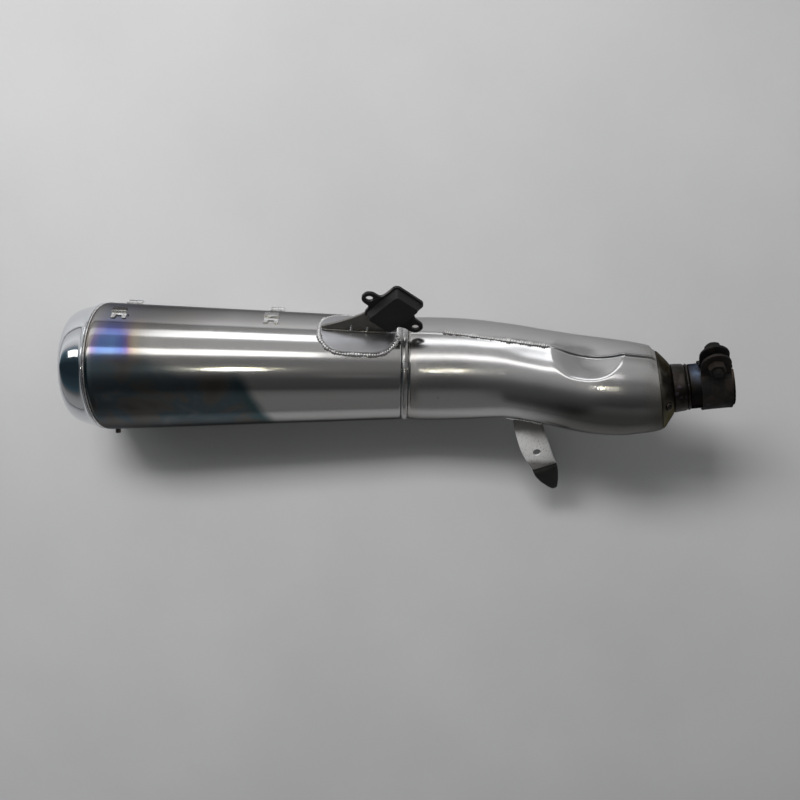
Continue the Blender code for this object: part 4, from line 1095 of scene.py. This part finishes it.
def build_hanger():
    # pad: concentric rings from the rim inwards, with a rounded edge
    edge = pad_edge(14, 0.0)
    n = len(edge)
    rings = []
    for off, h in ((0.0, 0.0), (0.0, 1.0), (-0.25, 1.45), (-0.8, 1.75), (-1.8, 1.82), (-4.0, 1.85), (-8.0, 1.9), (-13.0, 1.95), (-18.0, 1.95), (-21.6, 1.95)):
        ring = []
        for k in range(n):
            x, a = edge[k]
            # shrink towards the spine of the oblong
            cx = max(-(PAD_HALF_X - PAD_CORNER), min(PAD_HALF_X - PAD_CORNER, x - PAD_X)) + PAD_X
            ca = max(-(PAD_HALF_ARC - PAD_CORNER), min(PAD_HALF_ARC - PAD_CORNER, a))
            d = math.hypot(x - cx, a - ca)
            f = (d + off) / d
            xx, aa = cx + (x - cx) * f, ca + (a - ca) * f
            hh = h + 0.10 * wob((xx, aa, 0), 12.0, 6.0) * (1 if h > 1 else 0)
            ring.append(on_barrel(xx, aa, hh))
        rings.append(ring)
    bm = bmesh.new()
    vs = [[bm.verts.new(p) for p in ring] for ring in rings]
    for a, b in zip(vs, vs[1:]):
        for i in range(n):
            j = (i + 1) % n
            bm.faces.new((a[i], a[j], b[j], b[i]))
    bm.faces.new(vs[-1])
    # underside, following the barrel
    under = []
    for q in (0.25, 0.5, 0.75, 0.98):
        ring = []
        for k in range(n):
            x, a = edge[k]
            cx = max(-(PAD_HALF_X - PAD_CORNER), min(PAD_HALF_X - PAD_CORNER, x - PAD_X)) + PAD_X
            ca = max(-(PAD_HALF_ARC - PAD_CORNER), min(PAD_HALF_ARC - PAD_CORNER, a))
            ring.append(on_barrel(x + (cx - x) * q, a + (ca - a) * q, 0.0))
        under.append([bm.verts.new(p) for p in ring])
    prev = vs[0]
    for row in under:
        for i in range(n):
            j = (i + 1) % n
            bm.faces.new((prev[j], prev[i], row[i], row[j]))
        prev = row
    bm.faces.new(prev[::-1])
    piece(bm, "hanger_doubler", M["pad"], nodes=["hanger_pad"], sharp=60)

    pts, ups = [], []
    ring = pad_edge(14, 1.1)
    for i, (x, a) in enumerate(ring):
        j = 0.45 * wob((x, a, 0), 6.0, 2.0)
        psi = PAD_PSI + math.degrees(a / barrel_radius(x))
        pts.append(on_barrel(x + j * 0.5, a + j, 0.55))
        ups.append(Vector((0, math.sin(math.radians(psi)), math.cos(math.radians(psi)))))
    surface_bead("doubler_weld", "hanger_pad_weld", pts, ups, 1.8, M["bead"], 2.2, closed=True, pitch=4.6, ripple=0.38, lump=0.75)

    fr = Frame(vec(0, 0, axis_z(-40.0)), (1, 0, 0))
    er, en = fr.radial(47.0), fr.radial(-43.0)
    ex = Vector((1, 0, 0))
    base = lambda x: barrel_radius(x) + 1.9 + abs(x + 40.0) * 0.03 - abs(x + 40.0) * 0.0
    out = [(-79.0, base(-79) + 0.3), (-62.0, base(-62)), (-44.0, base(-44)), (-26.0, base(-26)), (-8.0, base(-8)),
           (-7.0, 72.0), (-14.0, 84.0), (-30.0, 84.0), (-44.0, 74.5), (-62.0, 66.0), (-79.0, 60.0)]
    rad = [1.5, 0, 0, 0, 1.0, 3.0, 3.0, 3.0, 6.0, 6.0, 2.0]
    piece(prism_bm(rounded(out, rad), ex, er, en, fr.o, -2.9, -0.4), "bracket_stay", M["stay"], nodes=["hanger_stay"],
          sharp=30, bevel=0.45)
    pts, ups = [], []
    for i in range(100):
        x = -77.0 + 60.0 * i / 99
        pts.append(fr.o + ex * x + er * (base(x) + 0.55 + 0.2 * wob((x, 0, 0), 5.0, 1.0)) + en * (-0.4 + 0.9))
        ups.append((en + er).normalized())
    surface_bead("stay_weld", "hanger_stay_weld", pts, ups, 1.0, M["stay"], 5.5, pitch=4.0, ripple=0.2, lump=0.6)
    # short tacks standing up the stay's face
    for n, (x, rise) in enumerate(((-51.0, 8.5), (-36.0, 6.5), (-17.0, 4.0))):
        pts, ups = [], []
        for i in range(24):
            t = i / 23
            pts.append(fr.o + ex * (x + 0.5 * t) + er * (base(x) + 0.2 + rise * t) + en * (0.15 + 0.25 * math.sin(math.pi * t)))
            ups.append(en)

        def section(i, n=n):
            taper = min(1.0, 0.3 + 0.7 * min(i, 23 - i) / 3.0)
            return [(u * 0.75 * taper, v * taper) for u, v in bead_section(1.15, i, 3.0 + n, 12, 0.18, 3.5, 0.3)]
        piece(sweep(pts, section, False, up=lambda i: ups[i]), "stay_tack_%d" % (n + 1), M["bead"], sharp=75)

    # bracket: an eared plate with a pressed, open-backed box
    c = fr.o + ex * -11.7 + er * 82.4
    e1 = (ex * 0.75 - er * 0.661).normalized()
    e2 = (ex * 0.661 + er * 0.75).normalized()
    w = en
    plate = [(-34.6, -3.4), (-34.6, 3.4), (-30.5, 7.1), (-22.0, 7.6), (-20.5, 11.5), (-20.5, 25.3), (-17.4, 28.2),
             (11.4, 28.2), (14.6, 25.2), (15.2, 11.5), (21.0, 7.6), (30.5, 7.1), (34.6, 3.4), (34.6, -3.4), (30.5, -7.1),
             (21.0, -7.6), (16.0, -10.0), (13.5, -16.4), (9.4, -18.4), (-15.8, -19.4), (-20.0, -16.4), (-20.5, -11.0),
             (-22.5, -7.6), (-30.5, -7.1)]
    pr = [5.0, 5.0, 5.0, 3.0, 3.0, 2.5, 2.0, 2.0, 2.5, 4.0, 3.0, 5.0, 5.0, 5.0, 5.0, 3.0, 3.0, 2.5, 3.0, 3.0, 2.5, 3.0, 3.0, 5.0]
    br = piece(prism_bm(rounded(plate, pr, 6), e1, e2, w, c, 0.0, 2.5), "hanger_bracket_pressing", M["black"],
               nodes=["hanger_bracket"], sharp=30, bevel=0.7)

    def hexa(p0, p1, q0, q1, n0, n1, shrink, rnd):
        steps = [(0.0, 0.0), (0.5, 0.5), (1.0, 1.0)]
        loops = []
        for f, g in steps:
            s = shrink * f
            rr = rounded([(p0 + s, q0 + s), (p1 - s, q0 + s), (p1 - s, q1 - s), (p0 + s, q1 - s)], rnd, 5)
            loops.append([c + e1 * a + e2 * b + w * (n0 + (n1 - n0) * g) for a, b in rr])
        return grid_bm(loops, close_u=False)

    cut(br, hexa(-19.0, 12.5, -17.5, 26.8, 1.0, 10.9, 2.4, 4.0), "UNION")
    cut(br, hexa(-16.5, 10.0, -26.0, 24.5, -1.0, 8.6, 1.8, 3.0))
    for s in (-1, 1):
        cut(br, rod_bm(c + e1 * (27.9 * s) - w * 4.0, w, 12.0, 3.3, 40))


# ---- stand stop -----------------------------------------------------------------------------------
STOP = [(121.6, -46.6, 68.8, 30.0, -6.5, 0.28), (124.6, -57.5, 69.4, 31.0, -7.0, 0.22), (128.8, -69.0, 67.6, 32.0, -6.5, 0.12),
        (133.0, -80.0, 64.4, 31.5, -3.5, 0.04), (138.0, -89.2, 60.0, 29.0, 3.0, 0.0), (143.2, -96.8, 55.4, 25.0, 18.0, 0.0)]


def build_stop():
    knots = [float(i) for i in range(len(STOP))]
    loops = []
    m = 30
    t = 2.6
    for k in range(m + 1):
        q = (len(STOP) - 1) * k / m
        x, y, z, w, turn, rise = [catmull([s[j] for s in STOP], knots, q) for j in range(6)]
        x2, y2, z2 = [catmull([s[j] for s in STOP], knots, min(q + 0.1, knots[-1])) for j in range(3)]
        x1, y1, z1 = [catmull([s[j] for s in STOP], knots, max(q - 0.1, 0.0)) for j in range(3)]
        run = Vector((x2 - x1, y2 - y1, z2 - z1)).normalized()
        a = math.radians(turn)
        side = Vector((math.cos(a), math.sin(a), rise)).normalized()
        nrm = side.cross(run).normalized()
        if nrm.z < 0:
            nrm = -nrm
        c = vec(x, y, z)
        loop = []
        # shallow channel: both long edges are turned down a little
        prof = [(-0.5, 0.0), (-0.492, 0.32), (-0.465, 0.5), (-0.40, 0.5), (-0.2, 0.5), (0.0, 0.5), (0.2, 0.5), (0.40, 0.5), (0.465, 0.5), (0.492, 0.32), (0.5, 0.0),
                (0.492, -0.32), (0.465, -0.5), (0.40, -0.5), (0.2, -0.5), (0.0, -0.5), (-0.2, -0.5), (-0.40, -0.5), (-0.465, -0.5), (-0.492, -0.32)]
        for s, h in prof:
            sag = -0.55 * smooth01((abs(s) - 0.40) / 0.10)
            loop.append(c + side * (w * s) + nrm * (t * h + sag + 0.2))
        loops.append(loop)
    plate = piece(grid_bm(loops, close_u=False), "stop_blade", M["stop"], nodes=["stand_stop_plate"], sharp=50)
    up = Vector((0.05, -0.28, 1.0)).normalized()
    cut(plate, rod_bm(vec(133.3, -80.3, 64.3) - up * 8.0, up, 16.0, 4.0, 48))

    pts, ups = [], []
    for i in range(80):
        x = 102.5 + 37.0 * i / 79
        fr = front_frame(x)
        psi = -93.0 + 1.2 * wob((x, 0, 0), 6.0, 3.0)
        pts.append(front_point(x, psi, 1.2))
        ups.append(fr.radial(psi))
    surface_bead("stop_root_weld", "stand_stop_weld", pts, ups, 2.0, M["bead"], 8.8, pitch=6.0, ripple=0.25, lump=0.5)

    a = math.radians(20.0)
    side = Vector((math.cos(a), math.sin(a), 0))
    run = Vector((0.40, -0.78, -0.48)).normalized()
    nrm = side.cross(run).normalized()
    if nrm.z < 0:
        nrm = -nrm
    end = vec(143.2, -96.8, 55.4) + run * 0.6
    secs = [(0.0, 23.6, 7.9, -0.2), (0.5, 24.8, 9.3, -0.2), (3.0, 24.9, 9.9, -0.4), (7.0, 24.0, 10.5, -0.6), (11.0, 22.2, 10.4, -0.6), (16.0, 19.5, 10.0, -0.6),
            (20.5, 16.4, 9.4, -0.3), (25.0, 13.0, 8.6, 0.0), (29.0, 9.6, 7.6, 0.3), (32.0, 6.8, 6.6, 0.6), (33.3, 4.6, 5.0, 0.6)]
    loops = []
    for s, wd, h, off in secs:
        c = end + run * (s + 0.2) + side * off
        ch = min(wd, h) * 0.30
        rr = rounded([(-wd / 2, -h / 2), (wd / 2, -h / 2), (wd / 2, h / 2), (-wd / 2, h / 2)], ch, 4)
        loops.append([c + side * u + nrm * v + nrm * 0.25 * wob((u, v, s), 7.0, 2.0) for u, v in rr])
    piece(grid_bm(loops, close_u=False), "stop_buffer", M["rubber"], nodes=["stand_stop_rubber"], sharp=55)


# ---- clips and nipple -------------------------------------------------------------------------------
def build_clips():
    spots = {"mid_near": (-127.0, 61.0), "mid_far": (-127.0, 103.0), "rear_near": (-267.5, 59.0), "rear_far": (-267.5, 103.0)}
    t = 1.2
    for name, (xc, psi) in spots.items():
        r = barrel_radius(xc)
        deg = lambda mm: math.degrees(mm / r)
        loops = []
        nx = 34
        for i in range(nx + 1):
            u = -1.0 + 2.0 * i / nx
            x = xc + 6.8 * u
            # the foot is cut to two splayed tabs, the lip is full width with turned corners
            foot = -1.2 - 4.3 * smooth01((abs(u) - 0.30) / 0.22)
            end = 1.0 - smooth01((abs(u) - 0.90) / 0.10)
            lip = 6.5 - 1.4 * (1 - end)
            h1 = 4.9 - 0.5 * (1 - end)
            sec = [(foot, 0.02), (foot - 0.05, 0.02 + t * 0.7), (foot + 0.3, 0.1 + t), (-0.7, 0.15 + t), (-0.1, 0.5 + t), (0.55, 3.4), (0.95, 4.25), (1.8, 4.75),
                   (3.6, h1), (lip - 0.4, h1), (lip, h1 - 0.35), (lip, h1 - t + 0.3), (lip - 0.35, h1 - t), (3.6, h1 - t), (2.7, 4.55 - t), (2.1, 3.9 - t),
                   (1.55, 2.2), (1.1, 0.35), (0.6, 0.02), (-0.3, 0.02)]
            loops.append([barrel_point(x, h, psi + deg(a)) for a, h in sec])
        mat = mat_clip("clip_" + name, barrel_point(xc, 3.0, psi + deg(1.2)).y * MM, {"rear_near": 0.95, "mid_near": 0.45, "rear_far": 0.8, "mid_far": 0.3}[name])
        piece(grid_bm(loops, close_u=False), "shield_clip_" + name, mat, nodes=["heat_shield_clip_" + name], sharp=40)

    d = Vector((0, math.sin(math.radians(-94.0)), math.cos(math.radians(-94.0))))
    c = Frame(barrel_point(-287.4, 0.0, -94.0), d)
    prof = [(-0.1, 1.4), (-0.1, 3.5), (0.5, 3.2), (0.9, 2.75), (1.4, 2.6), (5.7, 2.6), (6.05, 2.45), (6.2, 2.1), (6.2, 1.6), (5.9, 1.4)]
    ax = c.t
    ref = Vector((1, 0, 0))
    b2 = ax.cross(ref).normalized()
    loops = []
    for k in range(40):
        a = 2 * math.pi * k / 40
        rd = ref * math.cos(a) + b2 * math.sin(a)
        loops.append([c.o + ax * s + rd * (r + 0.10 * wob((math.cos(a) * 3, math.sin(a) * 3, s), 2.5, 1.0)) for s, r in prof])
    piece(grid_bm(loops), "condensate_nipple", M["weld_dark"], nodes=["rear_drain_nipple"], sharp=40)


# ---- outlet ---------------------------------------------------------------------------------------
def build_outlet():
    zc = axis_z(-150.0) - 16.0
    f = Frame(vec(-316.0, 0.0, zc), (1, 0, 0))
    prof = [(0.4, 19.5), (0.0, 19.9), (-0.0, 20.5), (0.4, 20.95)] + [(6.0 * k, 21.0) for k in range(1, 20)] + [(120.0, 21.0), (120.0, 19.5)] + \
           [(120.0 - 20.0 * k, 19.5) for k in range(1, 6)]
    piece(revolve(f, prof, 120), "outlet_pipe", M["inner"], nodes=["tail_pipe"], sharp=50)

    x = -305.0
    r = barrel_radius(x) - 5.2 - 1.9
    fc = Frame(vec(x, 0, axis_z(x)), (1, 0, 0))
    front = [(5.8, r + 0.2), (3.0, r + 0.15), (1.2, r), (0.4, r - 0.3), (-0.5, r - 1.4), (-1.2, r - 3.5), (-1.6, r - 6.0), (-1.8, r - 9.0), (-1.8, r - 16.0)]
    back = [(-0.2, r - 16.0), (-0.2, r - 9.4), (0.2, r - 5.8), (0.4, r - 3.6), (1.0, r - 2.2), (2.0, r - 1.6), (5.8, r - 1.4)]
    segs = 144
    bm = bmesh.new()
    fv = [[bm.verts.new(fc.at(s, q, 360.0 * k / segs)) for k in range(segs)] for s, q in front]
    bv = [[bm.verts.new(fc.at(s, q, 360.0 * k / segs)) for k in range(segs)] for s, q in back]
    for rows in (fv, bv, [fv[0], bv[-1]]):
        for p, q in zip(rows, rows[1:]):
            for i in range(segs):
                j = (i + 1) % segs
                bm.faces.new((p[i], p[j], q[j], q[i]))
    bm.faces.new(fv[-1])
    bm.faces.new(bv[0])
    ob = piece(bm, "outlet_dish", M["inner"], nodes=["outlet_plate"], sharp=45)
    cut(ob, rod_bm(vec(x - 8.0, 0.0, zc), (1, 0, 0), 20.0, 21.35, 120))


build_barrel()
F_IN, LEN = build_front()
build_clamp(F_IN, LEN)
build_hanger()
build_stop()
build_clips()
build_outlet()

# inner pieces stay as the CAD has them, with the sooted steel
for node in ("chamber_plate_front", "chamber_plate_mid", "chamber_plate_rear", "transfer_pipe_front", "transfer_pipe_rear", "front_baffle"):
    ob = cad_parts[node]
    ob.data.materials.clear()
    ob.data.materials.append(M["inner"])


# ---- floor, light and camera ------------------------------------------------------------------------
def build_stage():
    bm = bmesh.new()
    bmesh.ops.create_grid(bm, x_segments=8, y_segments=8, size=6.0)
    me = bpy.data.meshes.new("floor")
    bm.to_mesh(me)
    bm.free()
    me.materials.append(mat_floor())
    floor = bpy.data.objects.new("floor", me)
    floor.location = (0, 0, -0.0002)
    bpy.context.scene.collection.objects.link(floor)

    def strip(name, at, target, sx, sy, power, color):
        l = bpy.data.lights.new(name, "AREA")
        l.shape = "RECTANGLE"
        l.size, l.size_y = sx, sy
        l.energy = power
        l.color = color
        o = bpy.data.objects.new(name, l)
        o.location = at
        d = (Vector(target) - Vector(at)).normalized()
        # the light's x axis stays along world X as far as it can
        z = -d
        x = (Vector((1, 0, 0)) - z * z.x).normalized()
        y = z.cross(x)
        o.matrix_world = Matrix(((x.x, y.x, z.x, at[0]), (x.y, y.y, z.y, at[1]), (x.z, y.z, z.z, at[2]), (0, 0, 0, 1)))
        bpy.context.scene.collection.objects.link(o)
        return o

    key = strip("key", (-0.55, 1.08, 1.32), (-0.1, 0.0, 0.1), 1.0, 0.35, 27.0, (1.0, 0.985, 0.965))
    key.visible_glossy = False
    strip("upper_strip", (-1.06, 1.16, 1.75), (-0.2, 0.0, 0.1), 2.48, 0.42, 6.4, (1.0, 0.995, 0.98))
    strip("side_strip", (-0.27, 2.22, 0.86), (-0.1, 0.0, 0.1), 0.84, 0.58, 2.9, (0.96, 0.98, 1.0))
    strip("side_far", (-1.3, 2.22, 0.86), (-0.2, 0.0, 0.1), 1.2, 0.58, 1.6, (0.90, 0.96, 1.0))
    strip("ceiling_tube", (-0.27, 0.21, 2.45), (-0.25, 0.2, 0.0), 0.08, 0.026, 0.45, (1.0, 0.95, 0.66))
    strip("ceiling_tube_2", (-0.29, 0.12, 2.45), (-0.25, 0.2, 0.0), 0.10, 0.026, 0.50, (1.0, 0.99, 0.93))

    w = bpy.context.scene.world or bpy.data.worlds.new("World")
    bpy.context.scene.world = w
    w.use_nodes = True
    nt = w.node_tree
    nt.nodes.clear()
    tc = nt.nodes.new("ShaderNodeTexCoord")
    sep = nt.nodes.new("ShaderNodeSeparateXYZ")
    nt.links.new(tc.outputs["Generated"], sep.inputs[0])
    at = nt.nodes.new("ShaderNodeMath")
    at.operation = "ARCTAN2"
    nt.links.new(sep.outputs[1], at.inputs[0])
    nt.links.new(sep.outputs[2], at.inputs[1])
    mr = nt.nodes.new("ShaderNodeMapRange")
    mr.inputs["From Min"].default_value = -math.pi
    mr.inputs["From Max"].default_value = math.pi
    nt.links.new(at.outputs[0], mr.inputs["Value"])
    def pos(deg):
        return (deg + 180.0) / 360.0

    def sky(stops):
        n = nt.nodes.new("ShaderNodeValToRGB")
        e = n.color_ramp.elements
        while len(e) < len(stops):
            e.new(0.5)
        for i, (d, v, tint) in enumerate(stops):
            e[i].position = pos(d)
            e[i].color = (v * tint[0], v * tint[1], v * tint[2], 1)
        nt.links.new(mr.outputs["Result"], n.inputs["Fac"])
        return n.outputs["Color"]

    def blend(x0, x1, a, b):
        n = nt.nodes.new("ShaderNodeMapRange")
        n.interpolation_type = "SMOOTHSTEP"
        n.inputs["From Min"].default_value = min(x0, x1)
        n.inputs["From Max"].default_value = max(x0, x1)
        n.inputs["To Min"].default_value = 1.0 if x0 > x1 else 0.0
        n.inputs["To Max"].default_value = 0.0 if x0 > x1 else 1.0
        nt.links.new(sep.outputs[0], n.inputs["Value"])
        m = nt.nodes.new("ShaderNodeMix")
        m.data_type = "RGBA"
        nt.links.new(n.outputs["Result"], m.inputs[0])
        nt.links.new(a, m.inputs[6])
        nt.links.new(b, m.inputs[7])
        return m.outputs[2]

    plain, cool = (1, 1, 1), (0.62, 1.0, 1.25)
    # three strips of the room: over the barrel, over the front chamber, and low at the far left
    room_a = sky([(-100, 0.15, plain), (-54, 0.155, plain), (-45, 0.13, plain), (-41, 0.10, plain), (-37, 0.045, plain), (-24, 0.055, plain), (-20, 0.055, plain),
                  (-13, 0.07, plain), (-4, 0.11, plain), (6, 0.165, plain), (22, 0.19, plain), (30, 0.34, plain), (46, 0.46, plain),
                  (56, 0.44, plain), (66, 0.50, plain), (80, 0.36, plain), (96, 0.28, plain)])
    room_b = sky([(-104, 0.15, plain), (-86, 0.14, plain), (-79, 0.09, plain), (-72, 0.045, plain), (-62, 0.03, plain), (-50, 0.05, plain),
                  (-30, 0.075, plain), (-20, 0.10, plain), (-12, 0.18, plain), (-4, 0.28, plain), (8, 0.38, plain), (24, 0.46, plain),
                  (42, 0.52, plain), (58, 0.72, plain), (84, 0.58, plain), (96, 0.40, plain)])
    room_c = sky([(-96, 0.27, plain), (-72, 0.23, plain), (-63, 0.17, plain), (-56, 0.09, plain), (-48, 0.055, cool), (-38, 0.035, cool),
                  (-12, 0.020, cool), (14, 0.022, cool), (30, 0.06, cool), (41, 0.11, cool), (48, 0.24, (0.85, 0.95, 1.05)), (54, 0.52, plain),
                  (66, 0.72, plain), (80, 0.56, plain), (90, 0.50, plain), (100, 0.36, plain)])
    color = blend(-0.16, -0.29, room_a, room_b)
    color = blend(-0.46, -0.60, color, room_c)
    bg = nt.nodes.new("ShaderNodeBackground")
    bg.inputs["Strength"].default_value = 1.0
    nt.links.new(color, bg.inputs["Color"])
    out = nt.nodes.new("ShaderNodeOutputWorld")
    nt.links.new(bg.outputs[0], out.inputs[0])

    cam = bpy.data.cameras.new("camera")
    cam.lens = 35.1
    cam.sensor_width = 36.0
    cam.clip_end = 50
    co = bpy.data.objects.new("camera", cam)
    bpy.context.scene.collection.objects.link(co)
    r = (0.99990752, 0.01339297, -0.00236154)
    u = (-0.01359958, 0.98471668, -0.17363212)
    n = (0.0, 0.1736482, 0.9848078)
    p = (Vector((-4.071, 104.367, 824.130)) + SHIFT) * MM
    co.matrix_world = Matrix(((r[0], u[0], n[0], p.x), (r[1], u[1], n[1], p.y), (r[2], u[2], n[2], p.z), (0, 0, 0, 1)))
    bpy.context.scene.camera = co
    bpy.context.scene.view_settings.view_transform = "Standard"


build_stage()
